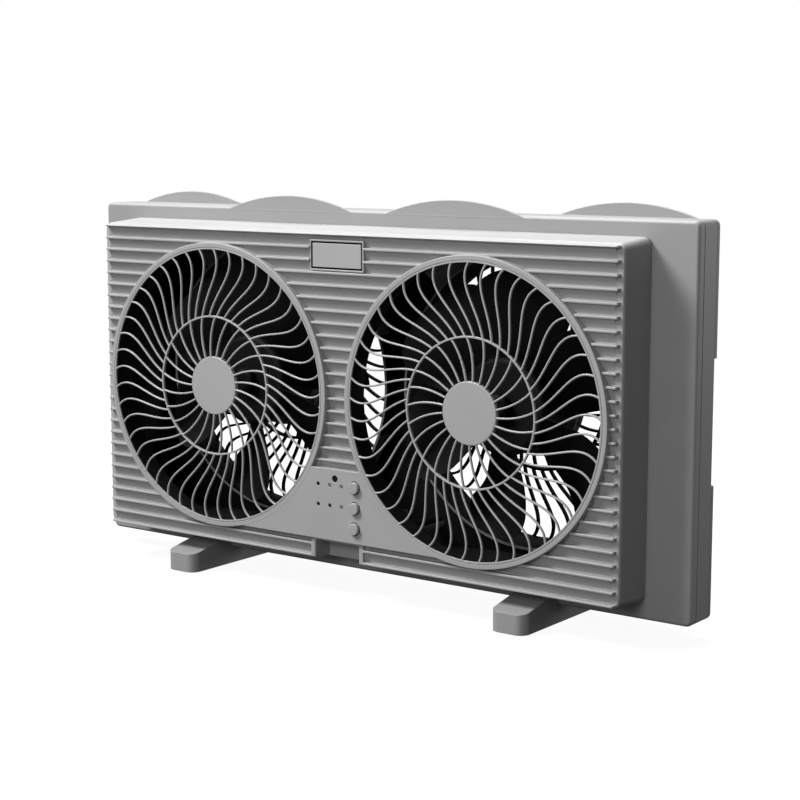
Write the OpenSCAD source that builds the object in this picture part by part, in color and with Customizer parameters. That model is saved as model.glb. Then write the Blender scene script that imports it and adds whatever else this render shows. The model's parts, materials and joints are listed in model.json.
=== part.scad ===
// Twin window fan: ribbed front cover with two round grilles, a wide frame with sliding
// side extenders, a rear housing, two reversible fans and two removable bar feet.
// +Z is up, -Y is the room side, X runs along the width. The origin is on the floor,
// under the middle of the feet. All sizes are in millimetres and degrees.

/* [Shell] */
// Wall thickness of the moulded shells
wall = 2.5; // [2:0.1:3]
// Gap between two pieces that are seated together
fit_gap = 0.3; // [0.2:0.05:0.5]
// Radial clearance of a shaft in its bush
run_gap = 0.05; // [0.02:0.01:0.1]
// Radius of the rounded edges of the front cover and the rear box
edge_r = 4; // [2:0.5:6]
// Radius of the corners of the front cover and the rear box, seen from the front
cover_corner_r = 8; // [4:0.5:12]
// Radius of the corners of the frame, seen from the front
frame_corner_r = 5; // [3:0.5:8]

/* [Frame] */
// Width of the frame on each side of the front cover
frame_side = 39.8; // [30:0.1:60]
// Height of the frame above the front cover
frame_top = 13.05; // [12:0.05:20]
// Height of the frame's lower edge above the floor
frame_lift = 15; // [13:0.5:25]
// Depth of the front frame, from its face to the seam
band_d = 9; // [6:0.5:14]
// Depth of the slot that the extenders run in
strip_d = 20.5; // [18:0.5:26]
// Depth of the lip behind the slot
lip_d = 6; // [4:0.5:10]
// Depth of the rear box behind the lip
rear_box_d = 20.5; // [20:0.5:30]
// Draft of the rear box
rear_draft = 2; // [0.5:0.5:4]
// Distance between the throats and the air duct's side walls
duct_side_gap = 5.85; // [3:0.05:6.3]
// Distance between the throats and the air duct's top and bottom
duct_gap = 3.6; // [2:0.1:4.6]
// Height of the finger gaps in the lip
finger_gap_h = 100; // [60:1:140]
// Depth of the finger gaps, from the side of the frame
finger_gap_d = 10; // [6:0.5:14]

/* [Sash tabs] */
// Distance of each front tab from the middle
front_tab_x = 87; // [70:1:110]
// Half the width of a front tab
front_tab_half = 64; // [50:1:68]
// Height of the front tabs above the frame
front_tab_h = 10.7; // [6:0.1:14]
// Distance of each rear tab's middle from the side of the frame
rear_tab_inset = 80.5; // [70:0.5:110]
// Half the width of a rear tab
rear_tab_half = 62; // [50:1:66]
// Height of the rear tabs above the frame
rear_tab_h = 11; // [6:0.1:14]

/* [Front cover] */
// Width of the front cover beside the rims
cover_side = 8.95; // [8.75:0.05:14]
// Height of the front cover's base above the rims
cover_top = 16.15; // [15.5:0.05:20]
// Height of the front cover's base below the rims
cover_low = 16.85; // [15.5:0.05:20]
// Height of the cover's lower edge above the frame's lower edge
cover_rise = 14.15; // [12:0.05:16]
// Depth of the front cover, from the rib noses to the frame
cover_d = 42.5; // [38:0.5:52]
// Draft of the cover's top and bottom
cover_draft = 4.44; // [1:0.1:6]
// Depth from the rib noses to the back of the base wall
skin_d = 8; // [7.8:0.1:9]
// Number of rib noses
rib_count = 26; // [18:1:28]
// Height of a rib nose
rib_nose = 2.2; // [1.6:0.1:3]
// Distance of the lowest nose from the face's lower edge
rib_low_margin = 1.4; // [1.1:0.1:3]
// Distance of the highest nose from the face's upper edge
rib_high_margin = 13.6; // [12:0.1:18]
// Height of the plain strip above the grooves
top_border = 3.1; // [2.5:0.1:5]
// Width of the plain strips beside the grooves
side_border = 6; // [4:0.1:10]
// Depth of a groove at its upper edge
groove_deep = 5.5; // [4.5:0.1:5.5]
// Depth of a groove at its lower edge
groove_shallow = 4; // [3:0.1:4.5]
// Radius of the grooves' rounded ends
groove_end_r = 3.5; // [1:0.1:3.8]

/* [Notch] */
// Width of the notch in the cover's lower edge
notch_w = 46.4; // [36:0.2:50]
// Height of the notch above the face's lower edge
notch_h = 15.9; // [12:0.1:17]
// Depth of the notch
notch_d = 17; // [12:0.5:20]
// Width of the plain strip beside the notch
notch_border = 4.8; // [3:0.1:7]

/* [Badge] */
// Width of the raised badge frame
badge_w = 56; // [50:0.5:60]
// Height of the raised badge frame
badge_h = 25; // [22:0.5:27]
// How far the badge frame stands out of the rib noses
badge_proud = 3.4; // [2:0.1:4]
// Distance of the badge's middle below the front cover's upper edge
badge_drop = 22.95; // [20:0.05:26]
// Width of the badge frame's border
badge_border = 2; // [1.6:0.1:3]
// Width of the groove between the badge plate and its frame
badge_groove = 1.1; // [0.8:0.1:1.6]
// Depth of the badge plate in its frame
badge_depth = 2.4; // [2:0.1:3]

/* [Fan openings] */
// Inner radius of the raised rims
rim_in_r = 121.5; // [110:0.1:135]
// Distance between the two front rims
rim_gap = 19.5; // [18:0.1:24]
// Width of the raised rims
rim_w = 4.5; // [3.5:0.1:4.8]
// How far the front rims stand out of the rib noses
rim_proud = 5; // [4:0.1:8]
// How far the rear rims stand out of the rear wall
rear_rim_proud = 8; // [8:0.1:12]
// How far the throat behind a grille is wider than the rims' inner edge
throat_step = 2.5; // [1:0.1:3]
// Depth of the throat's end behind the rim's edge
collar_d = 25.5; // [22:0.5:26]
// How far the foot of a rim spreads
rim_spread = 2.5; // [1:0.1:3]
// Wall thickness of the throat
throat_t = 2.4; // [1.8:0.1:2.6]

/* [Grilles] */
// Radius of the centre disc
disc_r = 25.8; // [20:0.1:30]
// Radius of the middle ring, at its centre line
mid_ring_r = 61; // [50:0.5:70]
// Width of a spoke and of the middle ring
spoke_w = 1.8; // [1.2:0.1:2.6]
// Depth of a spoke
spoke_d = 4; // [3:0.1:5]
// Width of the grille's outer ring
grille_ring_w = 1.5; // [1.2:0.1:2]
// Depth of the grille's outer ring
grille_ring_d = 8; // [6:0.1:8]
// Number of spokes inside the middle ring
inner_spokes = 25; // [15:1:30]
// Number of spokes outside the middle ring
outer_spokes = 45; // [30:1:50]
// Angle of the first inner spoke at the disc
inner_start = -3.1; // [-7:0.1:7]
// Angle of the first outer spoke at the middle ring
outer_start = 6.3; // [0:0.1:8]
// First term of the outer spokes' swirl
outer_bend_1 = 23.6; // [10:0.1:30]
// Second term of the outer spokes' swirl
outer_bend_2 = 10.56; // [0:0.01:20]
// Third term of the outer spokes' swirl
outer_bend_3 = 21.82; // [0:0.01:30]
// First term of the inner spokes' swirl
inner_bend_1 = 4.3; // [0:0.1:10]
// Second term of the inner spokes' swirl
inner_bend_2 = 5.1; // [0:0.1:10]
// Radius of the plate that carries the motor on the rear grille
motor_plate_r = 36; // [33:0.5:40]
// Thickness of the plate that carries the motor
motor_plate_t = 5; // [4:0.5:6]

/* [Blades] */
// Number of blades of each fan
blade_count = 6; // [4:1:7]
// Angle of the first blade at the hub
blade_phase = 19.7; // [0:0.1:60]
// Distance of the blades' middle behind the frame's face
blade_set_back = 18.6; // [18:0.1:19]
// Gap between the blade tips and the throat
blade_tip_gap = 11.4; // [8:0.1:20]
// Depth of a blade at its tip
blade_tip_d = 44.3; // [36:0.1:44.5]
// Depth of a blade at the hub
blade_root_d = 41.2; // [36:0.1:41.4]
// Sideways travel for each millimetre of depth at the tip
blade_tip_slant = 1.98; // [1:0.01:2.4]
// Sideways travel for each millimetre of depth at the hub
blade_root_slant = 1.17; // [0.6:0.01:1.5]
// First term of the blades' sweep
blade_sweep_1 = 21.9; // [0:0.1:30]
// Second term of the blades' sweep
blade_sweep_2 = 25.3; // [0:0.1:30]
// Thickness of a blade
blade_t = 1.9; // [1.4:0.1:2.4]
// Share of its thickness that a blade loses towards its edges
blade_thinning = 0.6; // [0:0.1:0.8]
// Height of a blade's camber
blade_camber = 1.5; // [0:0.1:3]
// Radius of the blades' rounded tip corners
blade_corner = 14; // [4:1:20]
// Outer radius of the hub
hub_r = 41.2; // [38:0.1:42]
// Length of the hub
hub_l = 41; // [36:0.5:41]
// Radius of the hub's rounded front edge
hub_edge_r = 6; // [3:0.5:9]
// Radius of the hub's inner boss
hub_boss_r = 8; // [7:0.5:9]
// Length of the hub's inner boss
hub_boss_l = 20; // [14:1:24]
// Radius of the hub cap
hub_cap_r = 11; // [9:0.5:14]
// Length of the hub cap
hub_cap_l = 8; // [6:0.5:12]

/* [Motors] */
// Radius of the motor
motor_r = 46; // [40:0.5:47]
// Radius of the shaft
shaft_r = 4; // [3:0.1:5]
// Length of the shaft's thread in front of the hub
shaft_tip_l = 4; // [3:0.5:5]
// Thickness of the motor's bells
bell_t = 2; // [1.6:0.1:2.4]
// Depth of the front bell
front_bell_d = 6; // [5:0.1:6.5]
// Depth of the rear bell
rear_bell_d = 5.5; // [5.5:0.1:6]
// Depth of the stator stack
stator_d = 7; // [6:0.1:8]
// Radius of the bore in the stator stack
stator_bore_r = 22.6; // [20:0.1:24]
// Gap between the rotor core and the stator
air_gap = 0.6; // [0.4:0.05:0.8]
// Length of the rotor core
core_l = 8; // [6:0.1:8.5]
// Outer radius of the bush housings
bush_boss_r = 9; // [8:0.1:10]
// Outer radius of the bushes
bush_r = 6; // [5.6:0.1:6.5]
// Length of the front bush
front_bush_l = 11; // [8:0.5:11.5]
// Length of the rear bush
rear_bush_l = 7; // [5:0.5:7.2]
// How far the front bush housing reaches in front of the bell
front_boss_l = 8.5; // [7:0.5:9]
// How far the rear bush housing reaches behind the bell
rear_boss_l = 4.3; // [3:0.1:4.5]
// Inner radius of the windings
coil_in_r = 27; // [26:0.5:29]
// Gap between the windings and the motor's outside
coil_gap = 5; // [4:0.5:8]
// How far the windings stand out of the stack
coil_d = 3.2; // [2.5:0.1:3.3]
// Radius of the circle of motor screws
screw_circle_r = 24; // [21:0.5:26]
// Number of screws that hold a motor
motor_screw_count = 4; // [3:1:6]

/* [Control panel] */
// Height of the panel, up from the level of the rims' lowest inner points
panel_h = 61.5; // [60:0.5:66]
// Distance of the buttons from the foot of the right rim, at the first button's height
button_margin = 9.35; // [8.5:0.05:11]
// Distance of the first button below the panel's upper edge
button_drop = 13.5; // [13:0.1:15]
// Distance between two buttons
button_pitch = 17.5; // [15:0.1:18]
// Radius of a button
button_r = 5.1; // [4:0.1:5.5]
// How far a button stands out of the panel
button_proud = 3; // [2:0.1:3.5]
// Travel of a button
button_travel = 1.2; // [0.8:0.1:1.4]
// Width of the flange that keeps a button in
button_flange = 1.5; // [1:0.1:1.8]
// Thickness of a button's flange
button_flange_t = 1.3; // [1:0.1:1.6]
// Bevel of a button's front edge
button_edge = 0.6; // [0.2:0.1:1]
// Radius of a button's stem
stem_r = 3; // [2.4:0.1:3.4]
// Radius of a switch plunger
plunger_r = 1.7; // [1.2:0.1:1.9]
// Radius of an indicator window
window_r = 1.5; // [1:0.1:2]
// Distance of the first column of windows from the middle
window_x = 18; // [17:0.5:19]
// Distance between two columns of windows
window_pitch = 12.5; // [10:0.5:13]
// Distance of the upper row of windows below the panel's upper edge
window_drop = 14; // [13:0.1:15]
// Distance between the two rows of windows
window_row_pitch = 17.4; // [15:0.1:19]
// Radius of the receiver window
receiver_r = 2.75; // [2:0.05:3]
// Distance of the receiver window below the panel's upper edge
receiver_drop = 8; // [7:0.1:9]
// Distance of the control board behind the panel's face
board_set_back = 11.5; // [10.8:0.1:12]
// Thickness of the control board
board_t = 1.6; // [1.2:0.1:2]
// Distance of the control board's left edge beyond the first column of windows
board_left_margin = 6; // [5:0.5:7]
// Distance of the control board's right edge beyond the buttons' middle
board_right_margin = 7; // [6:0.5:8]
// Distance of the control board's lower edge below the last button
board_low_margin = 9.5; // [8:0.5:10]
// Distance of the control board's upper edge above the receiver window's middle
board_high_margin = 2; // [1:0.5:3]
// Radius of the control board's bosses
board_boss_r = 2.6; // [2.2:0.1:3]
// Distance of the board's right-hand screws from the middle
board_screw_x = 9.5; // [9:0.1:10]
// Width of a switch
switch_w = 6; // [5:0.1:7]
// Depth of a switch
switch_d = 3.5; // [3:0.1:3.8]

/* [Extenders] */
// Travel of each extender
extender_travel = 165; // [100:1:175]
// Thickness of an extender's end plate
end_plate_t = 3; // [2:0.1:4]
// Height of an extender's rails
rail_h = 17; // [12:0.5:19]
// Wall of an extender's rails
rail_wall = 1.6; // [1.2:0.1:2.2]
// Length of the rails that stays in the frame when an extender is pulled out
rail_overlap = 20.5; // [15:0.5:40]
// Gap between a rail and its guides
rail_gap = 0.3; // [0.2:0.05:0.5]
// Depth of the bellows
bellows_d = 16.5; // [12:0.5:18]
// Number of pleats of each bellows
pleats = 11; // [6:1:14]
// Thickness of the bellows' sheet
pleat_t = 0.7; // [0.5:0.1:1]

/* [Feet] */
// Length of a foot
foot_l = 120; // [118:1:140]
// Width of a foot
foot_w = 33; // [28:0.5:40]
// Radius of a foot's corners, seen from above
foot_corner_r = 9; // [6:0.5:13]
// Distance of each foot's middle from the side of the frame
foot_inset = 135; // [110:0.5:160]
// Height of a foot's front end
foot_nose_h = 16.5; // [15:0.5:19]
// Distance of a foot's front end from the frame's face
foot_reach = 52; // [51:0.5:58]
// Slope of a foot's top
foot_slope = 11.3; // [6:0.1:12]
// Height of the foot screws' seats above the floor
foot_seat_z = 9; // [7:0.5:11]
// Distance between the two screws of a foot
foot_screw_pitch = 12; // [10:0.5:13]

/* [Fasteners] */
// Radius of the long screws' shanks
screw_r = 2; // [1.5:0.1:2.4]
// Radius of the long screws' heads
screw_head_r = 3.6; // [3:0.1:4]
// Thickness of the long screws' heads
screw_head_t = 2.3; // [1.5:0.1:2.8]
// Radius of the screw bosses
boss_r = 5.5; // [5:0.1:6]
// Wall of the frame screws' bosses
boss_wall = 2.2; // [1.6:0.1:3]
// Length of a housing screw's shank
housing_screw_l = 36; // [28:1:42]
// Depth of the housing screws' heads behind the frame's face
screw_seat_d = 14; // [10:1:20]
// Distance of the corner screws from the sides of the front cover
screw_side_margin = 12.7; // [10.5:0.1:16]
// Distance of the upper screws from the front cover's upper edge
screw_top_margin = 24.15; // [22:0.05:28]
// Distance of the lower screws from the front cover's lower edge
screw_low_margin = 24.85; // [22:0.05:28]
// Distance of the lower middle screws from the middle
middle_screw_x = 36; // [34:0.5:40]
// Distance of the frame screws from the middle
frame_screw_x = 60; // [40:1:80]
// Length of a frame screw's shank
frame_screw_l = 18; // [12:1:22]
// Radius of the small screws' shanks
small_screw_r = 1.3; // [1:0.1:1.6]
// Radius of the small screws' heads
small_head_r = 2.6; // [2.2:0.1:3]
// Radius of the cord gland
gland_r = 6; // [4:0.5:8]
// Radius of the cord gland's bore
gland_bore_r = 3.6; // [2:0.1:3.8]
// Height of the cord gland above the cover's lower edge
gland_rise = 26; // [20:1:30]

/* [Hidden] */
$fn = 96;

// How far a cutting shape reaches past what it cuts
over = 1;
// Number of flats that stand for a rounded edge which runs beside a drafted wall
arc_steps = 8;

// Depths along Y
plate_y = -foot_l / 2 + foot_reach;
face_y = plate_y - cover_d;
badge_front_y = face_y - badge_proud;
badge_floor_y = badge_front_y + badge_depth;
skin_y = face_y + skin_d;
pocket_y = face_y + notch_d;
rim_y = face_y - rim_proud;
seam_y = plate_y + band_d;
lip_y = seam_y + strip_d;
flange_y = lip_y + lip_d;
back_y = flange_y + rear_box_d;
rear_rim_y = back_y + rear_rim_proud;
duct_front_y = plate_y + wall;
flange_front_y = flange_y - wall;

// Radii about the fan axes
rim_out_r = rim_in_r + rim_w;
opening_r = rim_in_r + rim_w / 2;
collar_out_r = rim_out_r + rim_spread;
throat_r = rim_in_r + throat_step;
throat_out_r = throat_r + throat_t;
grille_r = rim_in_r - fit_gap;
grille_in_r = grille_r - grille_ring_w;
ledge_step = 1;
ledge_r = grille_r - ledge_step;
ledge_t = 2.4;
flare_d = 2;
blade_tip_r = throat_r - blade_tip_gap;

// Heights along Z
frame_z0 = frame_lift;
cover_z0 = frame_z0 + cover_rise;
axis_height = cover_z0 + cover_low + rim_out_r;
cover_z1 = axis_height + rim_out_r + cover_top;
frame_z1 = cover_z1 + frame_top;
draft_step = cover_d * tan(cover_draft);
face_z0 = cover_z0 + draft_step;
face_z1 = cover_z1 - draft_step;
notch_z = face_z0 + notch_h;
panel_z0 = axis_height - rim_in_r;
panel_z1 = panel_z0 + panel_h;
badge_z = cover_z1 - badge_drop;
badge_edge_r = badge_border / 2;
badge_hole_r = badge_border / 4;
duct_z0 = axis_height - throat_out_r - duct_gap;
duct_z1 = axis_height + throat_out_r + duct_gap;
rib_pitch = (face_z1 - face_z0 - rib_low_margin - rib_high_margin) / (rib_count - 1);

// Widths along X
fan_x = rim_out_r + rim_gap / 2;
duct_x = fan_x + throat_out_r + duct_side_gap;
cover_x = fan_x + rim_out_r + cover_side;
frame_x = cover_x + frame_side;
notch_x = notch_w / 2;
rear_tab_x = frame_x - rear_tab_inset;
foot_x = frame_x - foot_inset;

// Patches of a blade's surface, from the hub to the tip and from edge to edge
blade_rows = 8;
blade_columns = 8;

// Fans and motors along Y
blade_mid_y = plate_y + blade_set_back;
hub_y = blade_mid_y - hub_l / 2;
shaft_front_y = hub_y - shaft_tip_l;
motor_back_y = rear_rim_y - motor_plate_t;
stator_back_y = motor_back_y - rear_bell_d;
stator_front_y = stator_back_y - stator_d;
motor_front_y = stator_front_y - front_bell_d;
front_boss_y = motor_front_y - front_boss_l;
boss_end_t = 1;
bell_edge = 2 * bell_t;
rear_boss_y = motor_back_y + rear_boss_l;
rear_bore_y = rear_boss_y - boss_end_t;
core_mid_y = (stator_front_y + stator_back_y) / 2;
core_r = stator_bore_r - air_gap;
coil_out_r = motor_r - coil_gap;
bush_bore_r = shaft_r + run_gap;

// Control panel
first_button_z = panel_z1 - button_drop;
first_button_drop = axis_height - first_button_z;
rim_foot_x = fan_x - sqrt(collar_out_r * collar_out_r - first_button_drop * first_button_drop);
button_x = rim_foot_x - button_margin;
panel_back_y = rim_y + wall;
board_y = rim_y + board_set_back;
switch_y = board_y - switch_d;
stop_gap = 0.5;
stem_end_y = switch_y - button_travel - stop_gap;
plunger_end_y = board_y - button_travel - fit_gap;
button_count = 3;
low_button_drop = button_drop + (button_count - 1) * button_pitch;
board_x0 = -window_x - board_left_margin;
board_x1 = button_x + board_right_margin;
board_z0 = panel_z1 - low_button_drop - board_low_margin;
board_z1 = panel_z1 - receiver_drop + board_high_margin;
board_chamfer_x = 4;
board_chamfer_z = 9;
board_screw_margin = 3.5;
board_holes = [
    for (x = [board_x0 + board_screw_margin, board_screw_x],
         z = [board_z0 + board_screw_margin, board_z1 - board_screw_margin])
        [x, z]
];
window_points = [
    for (row = [0, 1], column = [0, 1, 2])
        [-window_x + column * window_pitch, panel_z1 - window_drop - row * window_row_pitch]
];

// Slot of the extenders
strip_mid_y = (seam_y + lip_y) / 2;
rail_y0 = strip_mid_y - bellows_d / 2;
rail_y1 = strip_mid_y + bellows_d / 2;
low_rail_z0 = frame_z0 + wall + rail_gap;
high_rail_z1 = frame_z1 - wall - rail_gap;
plate_in_x = frame_x - end_plate_t;
rail_end_x = frame_x - extender_travel - rail_overlap;
guide_t = 2;
guide_inset = 3;

// Screws
screw_fit = 0.1;
head_fit = 0.3;
hole_fit = 0.2;
screw_seat_y = plate_y + screw_seat_d;
screw_tip_y = screw_seat_y - housing_screw_l;
frame_boss_r = screw_r + boss_wall;
frame_screw_margin = wall + frame_boss_r + rail_gap;
frame_screw_zs = [frame_z0 + frame_screw_margin, frame_z1 - frame_screw_margin];
corner_screw_x = cover_x - screw_side_margin;
top_screw_z = cover_z1 - screw_top_margin;
low_screw_z = cover_z0 + screw_low_margin;
housing_screw_points = [
    [-corner_screw_x, top_screw_z], [0, top_screw_z], [corner_screw_x, top_screw_z],
    [-corner_screw_x, low_screw_z], [-middle_screw_x, low_screw_z],
    [middle_screw_x, low_screw_z], [corner_screw_x, low_screw_z]
];
foot_screw_points = [
    for (side = [-1, 1], step = [-1, 1])
        [side * foot_x, strip_mid_y + step * foot_screw_pitch / 2]
];
motor_head_y = rear_rim_y - screw_head_t - head_fit;
gland_z = cover_z0 + gland_rise;
gland_flange = 2;
gland_proud = 4;

// Colours
face_grey = "#a8a8a8";
shell_grey = "#989898";
grille_grey = "#b4b4b4";
dark_grey = "#3c3c3c";
black_plastic = "#161616";
metal_grey = "#8c8f92";
copper = "#8a4b2a";
bronze = "#b08d57";
board_green = "#2f5a38";

// ---- Drawing helpers ----

// A plate between two depths, drawn as it is seen from the front
module slab(y0, y1) {
    translate([0, y1, 0])
        rotate([90, 0, 0])
            linear_extrude(y1 - y0)
                children();
}

// A bar between two widths, drawn as depth and height
module bar_x(x0, x1) {
    translate([x0, 0, 0])
        rotate([90, 0, 90])
            linear_extrude(x1 - x0)
                children();
}

// A turned piece, drawn as radius and depth
module turned(x, z = axis_height) {
    translate([x, 0, z])
        rotate([-90, 0, 0])
            rotate_extrude()
                children();
}

// A round bar along the depth
module rod(x, z, r, y0, y1) {
    translate([x, y0, z])
        rotate([-90, 0, 0])
            cylinder(r = r, h = y1 - y0);
}

// A box given by its limits
module block(x0, x1, y0, y1, z0, z1) {
    translate([x0, y0, z0])
        cube([x1 - x0, y1 - y0, z1 - z0]);
}

// A rectangle given by its limits
module flat_box(u0, u1, v0, v1) {
    translate([u0, v0])
        square([u1 - u0, v1 - v0]);
}

// A rectangle with rounded corners
module soft_box(u0, u1, v0, v1, r) {
    flat_box(u0 + r, u1 - r, v0, v1);
    flat_box(u0, u1, v0 + r, v1 - r);
    for (u = [u0 + r, u1 - r], v = [v0 + r, v1 - r])
        translate([u, v])
            circle(r);
}

// A ring between two radii
module flat_ring(r0, r1) {
    difference() {
        circle(r1);
        circle(r0);
    }
}

// A piece and its mirror image
module pair() {
    children();
    mirror([1, 0, 0])
        children();
}

// ---- Front cover and rear box ----

function arc_points(u, v, r, a0, a1, steps) = [
    for (i = [0 : steps])
        let (a = a0 + (a1 - a0) * i / steps)
        [u + r * cos(a), v + r * sin(a)]
];

// Side view of a shallow tub with its face at 0, drafted and rounded at the face
module tub_side(depth, draft) {
    step = depth * tan(draft);
    rise = edge_r * tan(draft) - edge_r / cos(draft);
    polygon(concat(
        [[depth, cover_z0], [depth, cover_z1]],
        arc_points(edge_r, cover_z1 - step + rise, edge_r, 90 + draft, 180, arc_steps),
        arc_points(edge_r, cover_z0 + step - rise, edge_r, 180, 270 - draft, arc_steps)
    ));
}

// Plan of the tub, rounded at the face
module tub_plan(depth) {
    flat_box(-cover_x, cover_x, edge_r, depth);
    flat_box(-cover_x + edge_r, cover_x - edge_r, 0, depth);
    for (x = [-cover_x + edge_r, cover_x - edge_r])
        translate([x, edge_r])
            circle(edge_r);
}

module tub(depth, draft) {
    intersection() {
        bar_x(-cover_x - over, cover_x + over)
            tub_side(depth, draft);
        translate([0, 0, cover_z0 - over])
            linear_extrude(cover_z1 - cover_z0 + 2 * over)
                tub_plan(depth + over);
        slab(-over, depth + over)
            soft_box(-cover_x, cover_x, cover_z0, cover_z1, cover_corner_r);
    }
}

// The hollow of the tub, behind a face of the given thickness
module tub_hollow(depth, draft, skin) {
    slope = tan(draft);
    inset = wall / cos(draft) + depth * slope;
    bar_x(-cover_x + wall, cover_x - wall)
        polygon([
            [skin, cover_z0 + inset - skin * slope],
            [depth + over, cover_z0 + inset - (depth + over) * slope],
            [depth + over, cover_z1 - inset + (depth + over) * slope],
            [skin, cover_z1 - inset + skin * slope]
        ]);
}

// A round opening's rim, the ledge that its grille seats on, and the throat behind.
// side is 1 where the depth grows away from the rim's edge, and -1 where it falls.
module collar(x, edge_y, side, proud) {
    turned(x)
        polygon([
            for (p = [
                [rim_in_r, 0], [rim_out_r, 0], [collar_out_r, proud + flare_d],
                [throat_out_r, proud + 3 * flare_d], [throat_out_r, collar_d],
                [throat_r, collar_d], [ledge_r, grille_ring_d + ledge_t],
                [ledge_r, grille_ring_d], [rim_in_r, grille_ring_d]
            ])
                [p[0], edge_y + side * p[1]]
        ]);
}

// ---- Ribbed face ----

function rib_z(k) = face_z0 + rib_low_margin + k * rib_pitch;

function floor_at(z, z0, z1) =
    face_y + groove_shallow + (groove_deep - groove_shallow) * (z - z0) / (z1 - z0);

// One groove of the face: its floor leans, and its ends are rounded
module groove(x0, x1, z0, z1) {
    intersection() {
        bar_x(x0 - over, x1 + over)
            polygon([
                [face_y - over, z0 - over], [floor_at(z0 - over, z0, z1), z0 - over],
                [floor_at(z1 + over, z0, z1), z1 + over], [face_y - over, z1 + over]
            ]);
        slab(face_y - over, skin_y)
            soft_box(x0, x1, z0, z1, groove_end_r);
    }
}

module grooves() {
    edge_x = cover_x - side_border;
    half_nose = rib_nose / 2;
    for (k = [0 : rib_count - 2]) {
        z0 = rib_z(k) + half_nose;
        z1 = rib_z(k + 1) - half_nose;
        if (z0 < notch_z) {
            pair()
                groove(notch_x + notch_border, edge_x, z0, z1);
        } else {
            groove(-edge_x, edge_x, z0, z1);
        }
    }
    groove(-edge_x, edge_x, rib_z(rib_count - 1) + half_nose, face_z1 - top_border);
}

// The control panel's outline: the space between the two rims
module panel_outline(inset, clear_r) {
    difference() {
        flat_box(-fan_x, fan_x, panel_z0 + inset, panel_z1 - inset);
        for (x = [-fan_x, fan_x])
            translate([x, axis_height])
                circle(clear_r);
    }
}

module badge_outline(inset, r) {
    half_w = badge_w / 2 - inset;
    half_h = badge_h / 2 - inset;
    soft_box(-half_w, half_w, badge_z - half_h, badge_z + half_h, r);
}

module cover_shell() {
    difference() {
        union() {
            difference() {
                translate([0, face_y, 0])
                    tub(cover_d, cover_draft);
                translate([0, face_y, 0])
                    tub_hollow(cover_d, cover_draft, skin_d);
                grooves();
            }
            slab(rim_y, skin_y)
                panel_outline(0, opening_r);
            slab(badge_front_y, skin_y)
                badge_outline(0, badge_edge_r);
            block(-notch_x - wall, notch_x + wall, skin_y - over, pocket_y + wall, face_z0, notch_z + wall);
        }
        for (x = [-fan_x, fan_x])
            rod(x, axis_height, opening_r, rim_y - over, skin_y + over);
        slab(panel_back_y, skin_y + over)
            panel_outline(wall, collar_out_r);
        slab(badge_floor_y + wall, skin_y + over)
            badge_outline(badge_border, badge_hole_r);
        slab(badge_front_y - over, badge_floor_y)
            badge_outline(badge_border, badge_hole_r);
        block(-notch_x, notch_x, face_y - over, pocket_y, cover_z0 - over, notch_z);
    }
}

module cover_bosses() {
    for (p = housing_screw_points)
        rod(p[0], p[1], boss_r, boss_start(p), plate_y);
    for (p = board_holes)
        rod(p[0], p[1], board_boss_r, panel_back_y - over, board_y);
}

// Where a screw boss starts: on the panel, on the badge's floor or on the base wall
function boss_start(p) =
    p == housing_screw_points[1] ? badge_floor_y + over :
    abs(p[0]) == middle_screw_x ? panel_back_y - over : skin_y - over;

module cover_holes() {
    for (p = housing_screw_points)
        rod(p[0], p[1], screw_r + screw_fit, screw_tip_y - over, plate_y + over);
    for (p = board_holes)
        rod(p[0], p[1], small_screw_r + screw_fit, panel_back_y - over / 2, board_y + over);
    for (k = [0 : button_count - 1])
        rod(button_x, button_z(k), button_r + fit_gap, rim_y - over, panel_back_y + over);
    for (p = window_points)
        rod(p[0], p[1], window_r + screw_fit, rim_y - over, panel_back_y + over);
    rod(0, panel_z1 - receiver_drop, receiver_r + screw_fit, rim_y - over, panel_back_y + over);
}

function button_z(k) = first_button_z - k * button_pitch;

module front_cover() {
    color(face_grey)
        difference() {
            union() {
                cover_shell();
                cover_bosses();
                for (x = [-fan_x, fan_x])
                    collar(x, rim_y, 1, rim_proud);
            }
            cover_holes();
        }
}

module badge_plate() {
    color(grille_grey)
        slab(badge_front_y + fit_gap, badge_floor_y)
            badge_outline(badge_border + badge_groove, badge_hole_r);
}

// ---- Grilles ----

function polar(r, a) = [r * cos(a), r * sin(a)];

// A spoke's centre line: the angle grows with the share t of the way from r0 to r1
function spoke_point(t, r0, r1, start, bend) =
    polar(r0 + t * (r1 - r0), start + bend[0] * t + bend[1] * t * t - bend[2] * t * t * t);

function spoke_side(t, r0, r1, start, bend, side) =
    let (
        step = 0.01,
        p = spoke_point(t, r0, r1, start, bend),
        d = spoke_point(t + step, r0, r1, start, bend) - spoke_point(t - step, r0, r1, start, bend),
        n = [-d[1], d[0]] / norm(d)
    )
    p + side * spoke_w / 2 * n;

// A spoke between the shares t0 and t1 of the way from r0 to r1
module spoke(r0, r1, t0, t1, start, bend, steps) {
    ts = [for (i = [0 : steps]) t0 + (t1 - t0) * i / steps];
    polygon(concat(
        [for (i = [0 : steps]) spoke_side(ts[i], r0, r1, start, bend, 1)],
        [for (i = [steps : -1 : 0]) spoke_side(ts[i], r0, r1, start, bend, -1)]
    ));
}

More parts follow.
